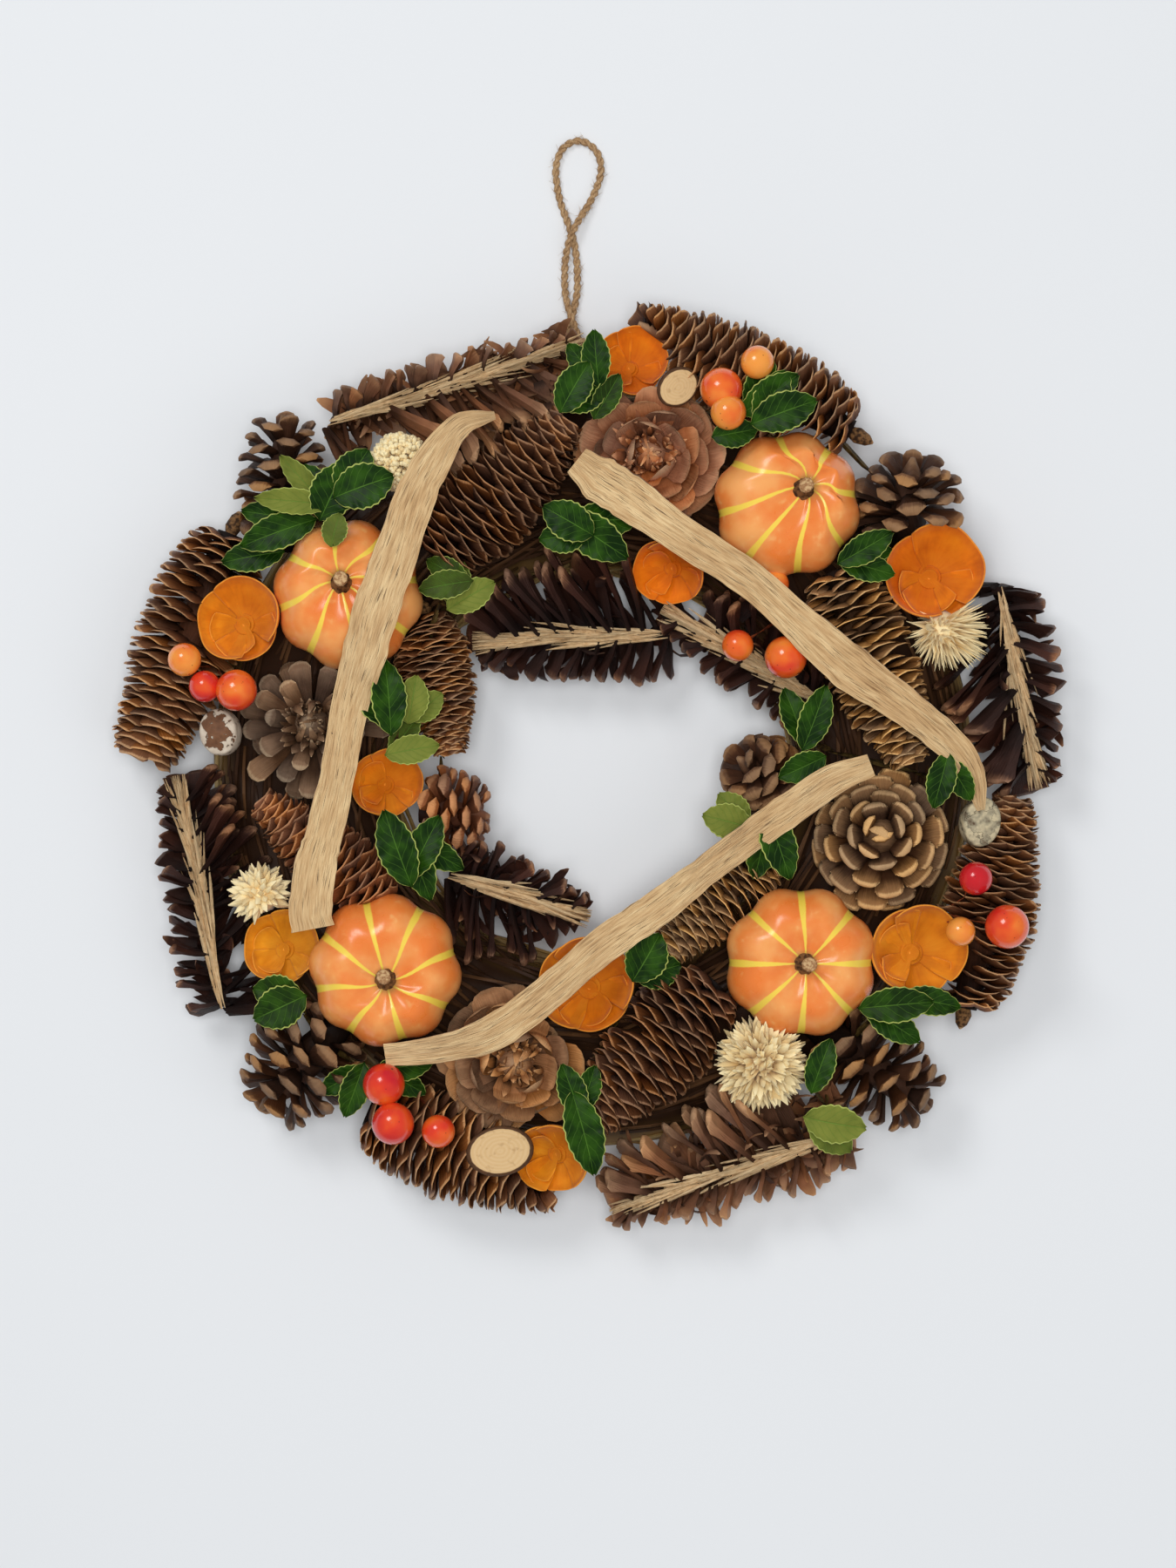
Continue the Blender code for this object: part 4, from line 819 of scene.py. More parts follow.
def pod_finish():
    """A mottled shell at shade 0; at shade 1 a ragged white rim round a brown middle."""
    look = Finish("seed_pod", 0.6)
    mottle = look.noise(300.0, 5.0)
    shell = look.ramp(mottle, (0.30, rgb(0.34, 0.26, 0.18)), (0.45, rgb(0.62, 0.58, 0.48)),
                      (0.62, rgb(0.80, 0.74, 0.60)))
    ragged = (look.across + (mottle - 0.5) * 2.4).steep(0.64, 0.74)
    opened = look.mix(ragged, look.mix(mottle, rgb(0.24, 0.14, 0.09), rgb(0.58, 0.40, 0.27)),
                      look.mix(mottle, rgb(0.52, 0.42, 0.33), rgb(0.95, 0.90, 0.82)))
    look.colour(look.mix(look.shade.steep(0.4, 0.6), shell, opened))
    return look.bump(mottle + ragged, 0.9, 0.0008).made


# A cone's colours: inside (painted shade), on the body, at the tip, on the lighter edge; and where
# the tip starts.
CONE_LOOKS = {
    "cone_brown": ((0.10, 0.05, 0.03), (0.35, 0.20, 0.12),
        (0.52, 0.34, 0.22), (0.80, 0.62, 0.45), 0.5),
    "cone_dark": ((0.06, 0.03, 0.02), (0.25, 0.14, 0.09),
        (0.40, 0.25, 0.16), (0.70, 0.52, 0.38), 0.5),
    "cone_tan": ((0.12, 0.07, 0.04), (0.40, 0.27, 0.17),
        (0.66, 0.49, 0.32), (0.88, 0.71, 0.50), 0.45),
    "cone_red": ((0.15, 0.07, 0.04), (0.40, 0.23, 0.15),
        (0.54, 0.34, 0.23), (0.76, 0.55, 0.40), 0.5),
    "cone_petal": ((0.14, 0.06, 0.04), (0.62, 0.39, 0.27),
        (0.83, 0.60, 0.45), (0.80, 0.62, 0.47), 0.68),
    "cone_rosette": ((0.10, 0.05, 0.03), (0.58, 0.40, 0.27),
        (0.80, 0.60, 0.43), (0.78, 0.61, 0.45), 0.68),
    "cone_grey": ((0.10, 0.06, 0.04), (0.29, 0.18, 0.12),
        (0.47, 0.33, 0.22), (0.62, 0.47, 0.33), 0.78),
    "cone_worn": ((0.08, 0.05, 0.03), (0.31, 0.22, 0.16),
        (0.52, 0.41, 0.32), (0.68, 0.58, 0.47), 0.55),
    "cone_facing": ((0.06, 0.03, 0.02), (0.28, 0.18, 0.12),
        (0.58, 0.43, 0.29), (0.84, 0.68, 0.49), 0.62),
    "cone_sawn": ((0.13, 0.08, 0.07), (0.25, 0.15, 0.12),
        (0.50, 0.35, 0.26), (0.62, 0.46, 0.35), 0.80),
    "cone_torn": ((0.22, 0.13, 0.08), (0.50, 0.34, 0.25),
        (0.68, 0.51, 0.38), (0.78, 0.61, 0.46), 0.58),
}

OTHER_LOOKS = {
    "straw_stalks": straw_finish,
    "jute_twine": jute_finish,
    "pumpkin_skin": pumpkin_finish,
    "pumpkin_stem": pumpkin_stem_finish,
    "berry_skin": berry_finish,
    "berry_stem": lambda: stem_finish("berry_stem", rgb(0.36, 0.14, 0.09), rgb(0.60, 0.30, 0.16)),
    "leaf_stem": lambda: stem_finish("leaf_stem", rgb(0.16, 0.12, 0.06), rgb(0.34, 0.27, 0.13)),
    "dyed_shaving": shaving_finish,
    "dried_bracts": cream_finish,
    "sawn_core": rib_finish,
    "leaf_blade": leaf_finish,
    "dried_strip": strip_finish,
    "wood_slice": slice_finish,
    "seed_pod": pod_finish,
}


def look_of(name):
    """The material of this name, made when it is first asked for."""
    if name in bpy.data.materials:
        return bpy.data.materials[name]
    if name in CONE_LOOKS:
        *colours, start = CONE_LOOKS[name]
        return cone_finish(name, *(rgb(*colour) for colour in colours), start)
    return OTHER_LOOKS[name]()


# Shapes that repeat. Each is a unit long up +Z and a unit wide along Y, and its outer side looks
# to +X. Their stations are as in grown_bar.

SCALE_STATIONS = {
    "thin": [
        (0.0, 0.0, 0.30, 0.9), (0.30, 0.9, 0.70, 1.0), (0.60, 1.2, 0.98, 1.0),
        (0.84, 0.7, 1.0, 0.8), (0.96, 0.2, 0.84, 0.6), (1.0, 0.0, 0.56, 0.35)],
    "thick": [
        (0.0, 0.0, 0.34, 0.4), (0.42, 0.0, 0.60, 0.46), (0.74, 0.02, 0.92, 0.60),
        (0.88, 0.16, 1.0, 0.96), (0.96, 0.34, 0.72, 0.80), (1.0, 0.40, 0.22, 0.24)],
    "shield": [
        (0.0, 0.0, 0.30, 0.5), (0.40, 0.0, 0.58, 0.70), (0.72, 0.0, 0.96, 0.90),
        (0.88, -0.1, 1.0, 1.0), (0.97, -0.2, 0.82, 0.85), (1.0, -0.2, 0.50, 0.45)],
    "broad": [
        (0.0, 0.0, 0.34, 0.9), (0.35, 0.4, 0.76, 1.0), (0.66, 1.0, 1.0, 1.0),
        (0.85, 0.6, 0.92, 0.9), (0.95, -0.6, 0.66, 0.7), (1.0, -1.6, 0.30, 0.4)],
    "ribbed": [
        (0.0, 0.0, 0.40, 0.5), (0.34, 0.20, 0.66, 0.50), (0.68, 0.18, 0.86, 0.52),
        (0.84, 0.10, 1.0, 0.92), (0.94, 0.20, 0.80, 0.90), (1.0, 0.38, 0.30, 0.35)],
    "curl": [
        (0.0, 0.0, 0.7, 0.8), (0.35, 1.6, 1.0, 1.0), (0.65, 0.4, 0.9, 0.9),
        (0.85, -3.2, 0.7, 0.8), (1.0, -8.0, 0.2, 0.4)],
    "spike": [
        (0.0, 0.0, 1.0, 1.0), (0.5, 0.0, 0.75, 0.75), (1.0, 0.0, 0.10, 0.10)],
    "floret": [
        (0.0, 0.0, 0.35, 0.35), (0.6, 0.0, 0.8, 0.8), (0.85, 0.0, 1.0, 1.0),
        (1.0, 0.0, 0.5, 0.5)],
    "core": [
        (0.0, 0.0, 0.70, 0.70), (0.3, 0.0, 1.0, 1.0), (0.75, 0.0, 0.70, 0.70),
        (1.0, 0.0, 0.12, 0.12)],
    "sliver": [
        (0.0, 0.0, 0.2, 0.3), (0.3, 0.1, 1.0, 1.0), (0.75, 0.1, 0.8, 0.8),
        (1.0, 0.3, 0.10, 0.15)],
}
# How far, in thicknesses, a form's edges are drawn back.
SCALE_CUPS = {"thin": 2.8, "broad": 1.6, "shield": 0.35, "ribbed": 0.25, "curl": 1.0}
SCALE_SIDES = {"thin": 8, "thick": 6, "shield": 8, "broad": 8, "ribbed": 6, "curl": 4, "spike": 3,
               "floret": 5, "core": 10, "sliver": 4}


class Shapes:
    """The repeated shapes, each modelled when it is first asked for and dropped at the end."""

    def __init__(self):
        self.made = {}

    def get(self, form, look):
        if (form, look) not in self.made:
            self.made[form, look] = grown_bar(
                "shape_" + form, SCALE_SIDES[form], SCALE_STATIONS[form], look_of(look),
                cup=SCALE_CUPS.get(form, 0.0))
        return self.made[form, look]

    def keep(self, key, build):
        if key not in self.made:
            self.made[key] = build()
        return self.made[key]

    def drop(self):
        drop(self.made.values())


# Cones

def cone_profile(t, widest, blunt):
    """The cone's radius at t from its base (0) to its tip (1), as a share of the greatest."""
    if t < widest:
        return math.sqrt(max(0.0, 1 - 0.62 * ((widest - t) / widest) ** 2))
    return 1 - (1 - blunt) * ((t - widest) / (1 - widest)) ** 1.8


def whole_cone(shapes, name):
    """The places of a cone's core and of its scales, which turn by the golden angle to its tip."""
    base, tip, radius, kind, roll = CONES[name]
    widest, blunt, count, leans, width, thick, core, form, look = CONE_KINDS[kind]
    radius *= FULLER.get(kind, 1.0)
    uneven = UNEVEN.get(kind, LEAST_UNEVEN)
    rng = random.Random(name)
    place = axis_place(base, tip, roll)
    length = (Vector(tip) - Vector(base)).length
    scale = shapes.get(form, look)
    middle = place @ sized(length * 0.96, radius * 0.62, radius * 0.62)
    places = [(shapes.get("core", look), middle, 0.2)]
    if kind in STALKED:
        stalk = axis_place(base, Vector(base) * 2 - Vector(tip), roll)
        stalk = stalk @ sized(length * 0.10, 6.5, 6.5)
        places.append((shapes.get("core", "pumpkin_stem"), stalk, 0.2))
    for i in range(count):
        t = (i + 0.5) / count
        lean = leans[0] + (leans[1] - leans[0]) * t ** 1.4 - 26 * max(0.0, t - 0.9) / 0.1
        lean += rng.uniform(-1.2, 1.2) * uneven
        full = radius * cone_profile(t, widest, blunt) * rng.uniform(0.92, 1.04)
        root = radius * core * (1 - 0.75 * t)
        reach = max(4.0, (full - root) / max(0.42, math.sin(math.radians(lean))))
        height = t * length - reach * math.cos(math.radians(lean))
        height = min(max(height, 0.02 * length), 0.97 * length)
        wide = width * (0.55 + 0.45 * full / radius) * rng.uniform(0.9, 1.1)
        turned = out_from_axis(GOLDEN_ANGLE * i + rng.uniform(-5, 5), root * 0.6, height, lean)
        own = rotated(rng.uniform(-1.4, 1.4) * uneven, "Z")
        here = place @ turned @ own @ sized(reach, wide, thick * rng.uniform(0.85, 1.2))
        if clears_floor(here) and clears_neighbours(here):
            places.append((scale, lifted(scale, here), rng.random()))
    return places


def torn_centre(shapes, name):
    """Splintered fibres in the middle of a rosette, where the cone was snapped."""
    base, tip, radius, kind, roll = CONES[name]
    rng = random.Random(name + "centre")
    place, length = axis_place(base, tip, roll), (Vector(tip) - Vector(base)).length
    look = CONE_KINDS[kind][-1]
    fibre, curl, places = shapes.get("sliver", look), shapes.get("curl", look), []
    for i in range(CENTRE_FIBRES):
        out = rng.uniform(0, 0.26) * radius
        here = place @ out_from_axis(GOLDEN_ANGLE * i, out, length * 0.66, rng.uniform(-10, 70))
        bit = sized(length * rng.uniform(0.20, 0.42), rng.uniform(1.2, 4.2), 0.8)
        places.append((curl if i % 3 == 0 else fibre, here @ bit, rng.uniform(0.5, 1.0)))
    return places


def long_side(turn):
    """0 on the short side of a sawn cone's cut and 1 on its long side, for a turn of 0 to 180."""
    return 0.5 - 0.5 * math.cos(math.radians(min(180.0, max(0.0, turn))))


def sawn_cone(shapes, name):
    """Half a cone sawn lengthwise: ribbed scales fan round half of the core, in layers, and the
    pale splintered core lies along the cut."""
    base, tip, reach, look, short, wide_scale, finish = SAWN_CONES[name]
    rng = random.Random(name)
    place = axis_place(base, tip, look)
    length = (Vector(tip) - Vector(base)).length
    scale, places = shapes.get("ribbed", finish), []
    rows = max(7, round(length / 6.5))
    wild, curls = SAWN_LOOKS[finish]
    for row in range(rows):
        t = (row + 0.5) / rows
        widest = reach * (0.55 + 0.45 * math.sin(math.pi * min(1.0, 0.25 + 0.8 * t)))
        for layer in range(SAWN_LAYERS):
            turn = 186 - 27 * layer - (row % 2) * 12 + rng.uniform(-7, 7) * (1 + wild)
            far = widest * (short + (1 - short) * long_side(turn))
            far *= rng.uniform(0.84 - 0.14 * wild, 1.04)
            lean = 74 - 36 * (t - 0.2) + rng.uniform(-9, 9) * (1 + 1.4 * wild)
            wide = wide_scale * rng.uniform(0.8, 1.15)
            here = (place @ out_from_axis(-turn, 1.5, t * length - 0.24 * far, lean)
                    @ rotated(rng.uniform(-14, 14) * (1 + 2 * wild), "Z") @ sized(far, wide, 3.8))
            if clears_floor(here) and clears_neighbours(here):
                places.append((scale, lifted(scale, here), rng.random()))
    fibre, curl = shapes.get("sliver", "sawn_core"), shapes.get("curl", finish)
    for _ in range(CUT_FIBRES):
        side = rng.choice((-1, 1))
        start = rng.uniform(-3, length * 0.84)
        along = min(rng.uniform(10, 36), length - start + 3)
        middle = 1 - abs(2 * (start + along / 2) / length - 1)
        off = side * rng.uniform(0.2, 0.8 + 1.5 * middle)
        here = (place @ shifted(off, rng.uniform(0.2, 2.8), start)
                @ rotated(rng.gauss(0, 5.0), "Y") @ rotated(rng.gauss(0, 3.5), "X")
                @ sized(along, rng.uniform(0.8, 2.0), rng.uniform(0.8, 1.8)))
        places.append((fibre, here, rng.random()))
    for _ in range(curls):
        start, turn = rng.uniform(0, length * 0.95), rng.uniform(-10, 190)
        out = rng.uniform(0, 0.5) * reach * (short + (1 - short) * long_side(turn))
        here = (place @ rotated(-turn, "Z") @ shifted(out, 0, start)
                @ rotated(rng.uniform(-180, 180), "X") @ rotated(rng.uniform(20, 85), "Y")
                @ sized(rng.uniform(7, 15), rng.uniform(1.6, 6.5), 0.5))
        if clears_floor(here) and clears_neighbours(here):
            places.append((curl, lifted(curl, here), rng.random()))
    return places


def cone_places(shapes, name):
    if name in SAWN_CONES:
        return sawn_cone(shapes, name)
    places = whole_cone(shapes, name)
    if name.startswith("rosette"):
        places += torn_centre(shapes, name)
    return places


def cone_nodes():
    """The nodes that hold cones, each with its cones' names."""
    nodes = dict(TOUCHING)
    grouped = [name for group in TOUCHING.values() for name in group]
    nodes.update({name: (name,) for name in [*CONES, *SAWN_CONES] if name not in grouped})
    return nodes


def cone_slot(node):
    if node.startswith("sawn"):
        return "sawn"
    return "spruce" if node.startswith("spruce") or node == "cones_inner_bottom" else "pine"


# Other pieces

def pumpkin(name):
    """A ribbed, flattened ball whose lobes meet in a dimple round the short woody stem."""
    (x, y), radius, height, (stem_x, stem_y), turn = PUMPKINS[name]
    deselect()
    bpy.ops.mesh.primitive_uv_sphere_add(segments=32, ring_count=16, radius=1)
    body = active()
    points = points_of(body.data)
    round_it = np.degrees(np.arctan2(points[:, 1], points[:, 0]))
    lobe = 360 / LOBES
    off_groove = np.abs((round_it + lobe / 2) % lobe - lobe / 2) / (lobe / 2)
    off_groove[np.hypot(points[:, 0], points[:, 1]) < 1e-4] = 0.0
    set_grain(body, off_groove, np.arccos(np.clip(points[:, 2], -1, 1)) / math.pi)
    bpy.ops.object.mode_set(mode="EDIT")

    def lane(p):
        """0 in a groove, 2 on the middle of a lobe, 1 and 3 between them."""
        return round(math.degrees(math.atan2(p.y, p.x)) / (lobe / 4)) % 4

    for kind, size, high in ((0, 0.90, 0.95), (2, 1.02, 1.02)):
        select_points(body, lambda p, k=kind: abs(p.z) < 0.99 and lane(p) == k)
        bpy.ops.transform.resize(value=(size, size, high), center_override=(0, 0, 0))
    lean = Vector((stem_x, stem_y, 0)) / radius
    for ring in range(8):
        polar = math.pi * ring / 16
        low, high = math.cos(polar + math.pi / 32), math.cos(max(0.0, polar - math.pi / 32))
        out = math.sin(polar)
        dip = 0.34 * max(0.0, 1 - out / 0.62) ** 1.5
        for sign in (1, -1):
            select_points(body, lambda p, s=sign, a=low * 0.955, b=high * 1.03: a < p.z * s <= b)
            move = lean * (1 - out) ** 1.3 if sign == 1 else Vector()
            bpy.ops.transform.translate(value=(move.x, move.y, -sign * dip))
    bpy.ops.object.mode_set(mode="OBJECT")
    subdivide_smooth(body)
    bpy.ops.object.shade_smooth()
    body.data.materials.append(look_of("pumpkin_skin"))
    body.data.transform(shifted(x, y, PUMPKIN_FOOT + height * 0.44) @ rotated(turn, "Z")
                        @ sized(height * 0.5, radius * 1.04, radius * 1.04))
    leant = rotated(turn, "Z") @ Vector((stem_x, stem_y, 0))
    stem = grown_bar("stem", 9, [
        (-0.35, 0.0, 1.5, 1.5), (0.15, 0.02, 0.92, 0.92), (0.55, 0.08, 0.70, 0.74),
        (0.92, 0.20, 0.80, 0.84), (1.0, 0.22, 0.68, 0.72), (0.96, 0.22, 0.30, 0.32)],
        look_of("pumpkin_stem"))
    stem.data.transform(shifted(x + leant.x, y + leant.y, PUMPKIN_FOOT + height * 0.79)
                        @ rotated(turn * 7, "Z") @ sized(7.5, 7.0, 7.0))
    return join_as(name + "_dressed", [body, stem])


def berry_shape():
    deselect()
    bpy.ops.mesh.primitive_uv_sphere_add(segments=24, ring_count=16, radius=1)
    ball = active()
    bpy.ops.object.shade_smooth()
    points = points_of(ball.data)
    set_grain(ball, points[:, 0] * 0.5 + 0.5, points[:, 2] * 0.5 + 0.5)
    ball.data.materials.append(look_of("berry_skin"))
    return ball


def berry_spray(shapes, name):
    """Three berries, each with its dark eye turned outwards, on thin stems bent from one root."""
    root, berries = SPRAYS[name]
    rng = random.Random(name)
    ball = shapes.keep("berry", berry_shape)
    spike = shapes.get("spike", "berry_stem")
    places = [(spike, axis_place(root, Vector(root) + UP) @ sized(3, 3.4, 3.4), 0.5)]
    for place, radius, redness in berries:
        place = Vector(place)
        away = (place - Vector(root)).normalized()
        out = (away * 0.6 + Vector((rng.uniform(-1, 1), rng.uniform(-1, 1), -0.3))).normalized()
        turned = axis_place(place, place + out) @ Matrix.Scale(radius * MM, 4)
        places.append((ball, turned, redness))
        bend = place * 0.55 + Vector(root) * 0.45
        bend += Vector((rng.uniform(-2, 2), rng.uniform(-2, 2), 0))
        for start, wide in ((Vector(root), 1.9), (place - away * radius * 0.8, 1.6)):
            stem = axis_place(start, bend) @ sized((bend - start).length * 1.03, wide, wide)
            places.append((spike, stem, 0.5))
    return put_copies(name + "_dressed", places)


def petal_shape():
    """A petal of a cup: a patch of a ball, closed at its foot, with a heart's notch in its rim."""
    deselect()
    bpy.ops.mesh.primitive_uv_sphere_add(segments=40, ring_count=20, radius=1)
    petal = active()
    bpy.ops.object.mode_set(mode="EDIT")

    def off_middle(p):
        return abs(math.degrees(math.atan2(p.y, p.x)))

    select_faces(petal, lambda c: c.z > 0.20 or (off_middle(c) > 88 and c.z > -0.93))
    bpy.ops.mesh.delete(type="FACE")
    for nearest, furthest, cut in PETAL_RIM:
        for low, share in ((-0.06, 0.45), (0.06, 0.55)):
            select_points(petal, lambda p, a=nearest, b=furthest, z=low:
                          p.z > z and a <= off_middle(p) < b)
            bpy.ops.transform.translate(value=(0, 0, -cut * share))
    for low, size in ((-0.35, 1.05), (-0.05, 1.04)):
        select_points(petal, lambda p, z=low: p.z > z)
        bpy.ops.transform.resize(value=(size, size, 1), center_override=(0, 0, 0))
    bpy.ops.object.mode_set(mode="OBJECT")
    points = points_of(petal.data)
    set_grain(petal, np.degrees(np.arctan2(points[:, 1], points[:, 0])) / 176 + 0.5,
              np.clip((points[:, 2] + 1.0) / 1.25, 0, 0.93))
    shape = bmesh.new()
    shape.from_mesh(petal.data)
    layer = shape.verts.layers.float_vector["grain"]
    for vert in shape.verts:
        if vert.is_boundary and vert.co.z > -0.8:
            vert[layer] = (vert[layer][0], 1.0, vert[layer][2])
    shape.to_mesh(petal.data)
    shape.free()
    apply_modifier(petal, "SOLIDIFY", thickness=0.055, offset=-1.0)
    subdivide_smooth(petal)
    bpy.ops.object.shade_smooth()
    petal.data.materials.append(look_of("dyed_shaving"))
    return petal


def cup(shapes, name):
    """Lapped petals round a foot that reaches down to the ring."""
    foot, lean, radius, step, golden = CUPS[name]
    place = axis_place(foot, Vector(foot) + cup_tilt(lean), roll=17 * step)
    rng = random.Random(name)
    petal = shapes.keep("petal", petal_shape)
    places = [(shapes.get("core", "dyed_shaving"), place @ Matrix.Translation((0, 0, -12 * MM))
               @ sized(14.0, radius * 0.9, radius * 0.9), golden)]
    depth = radius * 0.92
    for wide, turn, further, lean_out, deep, low in PETALS:
        here = (place @ Matrix.Translation((0, 0, (low + 0.3) * MM))
                @ rotated(turn + further * step + rng.uniform(-14, 14), "Z")
                @ rotated(lean_out, "Y") @ Matrix.Translation((0, 0, depth * deep * MM))
                @ sized(depth * deep, wide * radius, wide * radius))
        places.append((petal, here, min(1.0, golden + rng.uniform(0, 0.25))))
    return put_copies(name + "_dressed", places)


def uneven_way(way, rng, *spreads):
    """The way with a random part added on each axis that has a spread."""
    added = [rng.gauss(0, spread) for spread in spreads]
    return (way + Vector(added + [0] * (3 - len(added)))).normalized()


def dried_head(shapes, name):
    """Bracts or florets that stand out all round a ball, as thick as the kind of head has them."""
    centre, radius, kind = HEADS[name]
    form, count, wide, low = HEAD_KINDS[kind]
    longer, thick = (1.15, 1.4) if kind == "full" else (1.0, wide)
    rng = random.Random(name)
    bit = shapes.get(form, "dried_bracts")
    middle = Vector(centre)
    ball = axis_place(middle - UP * radius * 0.9, middle + UP * radius)
    places = [(shapes.get("core", "dried_bracts"),
               ball @ sized(radius * 1.5, radius * 1.3, radius * 1.3), 0.2)]
    for i in range(count):
        up = 1 - 1.75 * (i + 0.5) / count
        level, turn = math.sqrt(max(0, 1 - up * up)), math.radians(GOLDEN_ANGLE * i)
        away = Vector((level * math.cos(turn), level * math.sin(turn), up))
        start = middle + away * radius * low
        far = radius * (1 - low) * rng.uniform(0.80, 1.12)
        if kind == "full":
            away = uneven_way(away + UP * 0.35, rng, 0.22, 0.22)
        elif kind == "spiky":
            away = uneven_way(away + Vector((0.45, -0.35, 0.1)), rng, 0.25, 0.25)
            far *= 1.1 if away.x < 0.6 else 1.35
        elif kind == "tufted":
            away = uneven_way(away, rng, 0.35, 0.35, 0.35)
        here = axis_place(start, start + away, rng.uniform(0, 360))
        if not in_a_cup(start + away * far, 1.0):
            here = here @ sized(far * longer, wide * rng.uniform(0.8, 1.2), thick)
            places.append((bit, here, rng.random()))
    return put_copies(name + "_dressed", places)


def round_disc(name, centre, half, thick, turn, lean, shade, look, worn):
    """A disc with rounded edges; worn is how far its two faces swell in each step inwards."""
    deselect()
    bpy.ops.mesh.primitive_cylinder_add(vertices=40, radius=1, depth=1)
    disc = active()
    disc.name = disc.data.name = name
    bpy.ops.object.mode_set(mode="EDIT")
    for sign in (1, -1):
        select_faces(disc, lambda c, s=sign: c.z * s > 0.4)
        bpy.ops.mesh.inset(thickness=0.10)
        bpy.ops.transform.translate(value=(0, 0, sign * 0.04))
        for inset in (0.25, 0.25, 0.2):
            bpy.ops.mesh.inset(thickness=inset)
            bpy.ops.transform.translate(value=(0, 0, sign * worn))
    bpy.ops.mesh.select_all(action="SELECT")
    bpy.ops.transform.vertex_random(offset=0.02, seed=3)
    bpy.ops.object.mode_set(mode="OBJECT")
    points = points_of(disc.data)
    if look == "wood_slice":
        set_grain(disc, points[:, 0] * 0.5 + 0.5, points[:, 1] * 0.5 + 0.5, shade)
    else:
        set_grain(disc, np.hypot(points[:, 0], points[:, 1]), 0.5, shade)
    subdivide_smooth(disc)
    bpy.ops.object.shade_smooth_by_angle(angle=math.radians(60))
    disc.data.materials.append(look_of(look))
    tilt = Matrix.Rotation(lean[0], 4, "Y") @ Matrix.Rotation(lean[1], 4, "X")
    disc.data.transform(shifted(*centre) @ tilt @ rotated(turn, "Z")
                        @ sized(thick, half[1], half[0]))
    return disc


def dried_strip(node):
    """A flat strip that a Curve modifier bends along its line, waved, creased and thickened."""
    name, line = node + "_dressed", STRIPS[node]
    route = smooth_route([p[:3] for p in line], 6)
    widths = np.interp(np.linspace(0, len(line) - 1, len(route)), range(len(line)),
                       [p[3] for p in line])
    curve = bpy.data.curves.new(name + "_line", "CURVE")
    curve.dimensions, curve.twist_mode = "3D", "Z_UP"
    spline = curve.splines.new("POLY")
    spline.points.add(len(route) - 1)
    rng = random.Random(name)
    for i, (point, place, width) in enumerate(zip(spline.points, route, widths)):
        point.co = (*(place * MM), 1.0)
        point.radius = width / STRIP_WIDTH * rng.uniform(0.95, 1.05)
        point.tilt = STRIP_TWISTS[node] * math.sin(i * 0.21)
    guide = bpy.data.objects.new(name + "_line", curve)
    bpy.context.scene.collection.objects.link(guide)
    length = sum((b - a).length for a, b in zip(route, route[1:]))
    deselect()
    bpy.ops.mesh.primitive_grid_add(x_subdivisions=110, y_subdivisions=8, size=1)
    strip = active()
    strip.name = strip.data.name = name
    strip.data.transform(Matrix.Translation((length * MM / 2, 0, 0))
                         @ Matrix.Diagonal((length * MM, STRIP_WIDTH * MM, 1, 1)))
    points = points_of(strip.data)
    set_grain(strip, points[:, 1] / (STRIP_WIDTH * MM) + 0.5, points[:, 0] / 0.06,
              sum(map(ord, name)) % 10 / 10)
    bpy.ops.object.mode_set(mode="EDIT")
    for k in range(9):
        lane = (k - 4) * STRIP_WIDTH * MM / 8
        select_points(strip, lambda p, y=lane: abs(p.y - y) < 1e-5)
        bpy.ops.transform.translate(value=(0, 0, rng.uniform(-0.35, 0.35) * MM))
    bpy.ops.object.mode_set(mode="OBJECT")
    apply_modifier(strip, "CURVE", object=guide, deform_axis="POS_X")
    waves = bpy.data.textures.new(name + "_waves", "CLOUDS")
    waves.noise_scale = 0.016
    apply_modifier(strip, "DISPLACE", texture=waves, strength=2.2 * MM, mid_level=0.5,
                   texture_coords="LOCAL")
    apply_modifier(strip, "SOLIDIFY", thickness=0.8 * MM, offset=0.0)
    bpy.ops.object.shade_smooth_by_angle(angle=math.radians(60))
    strip.data.materials.append(look_of("dried_strip"))
    bpy.data.objects.remove(guide)
    bpy.data.curves.remove(curve)
    return strip


# A leaf's width from foot to tip: every other station is a tooth.
LEAF_WIDTHS = (0.05, 0.36, 0.66, 0.58, 0.92, 0.76, 1.06, 0.86, 1.08, 0.86, 1.02, 0.76, 0.86, 0.56,
               0.58, 0.30, 0.06)


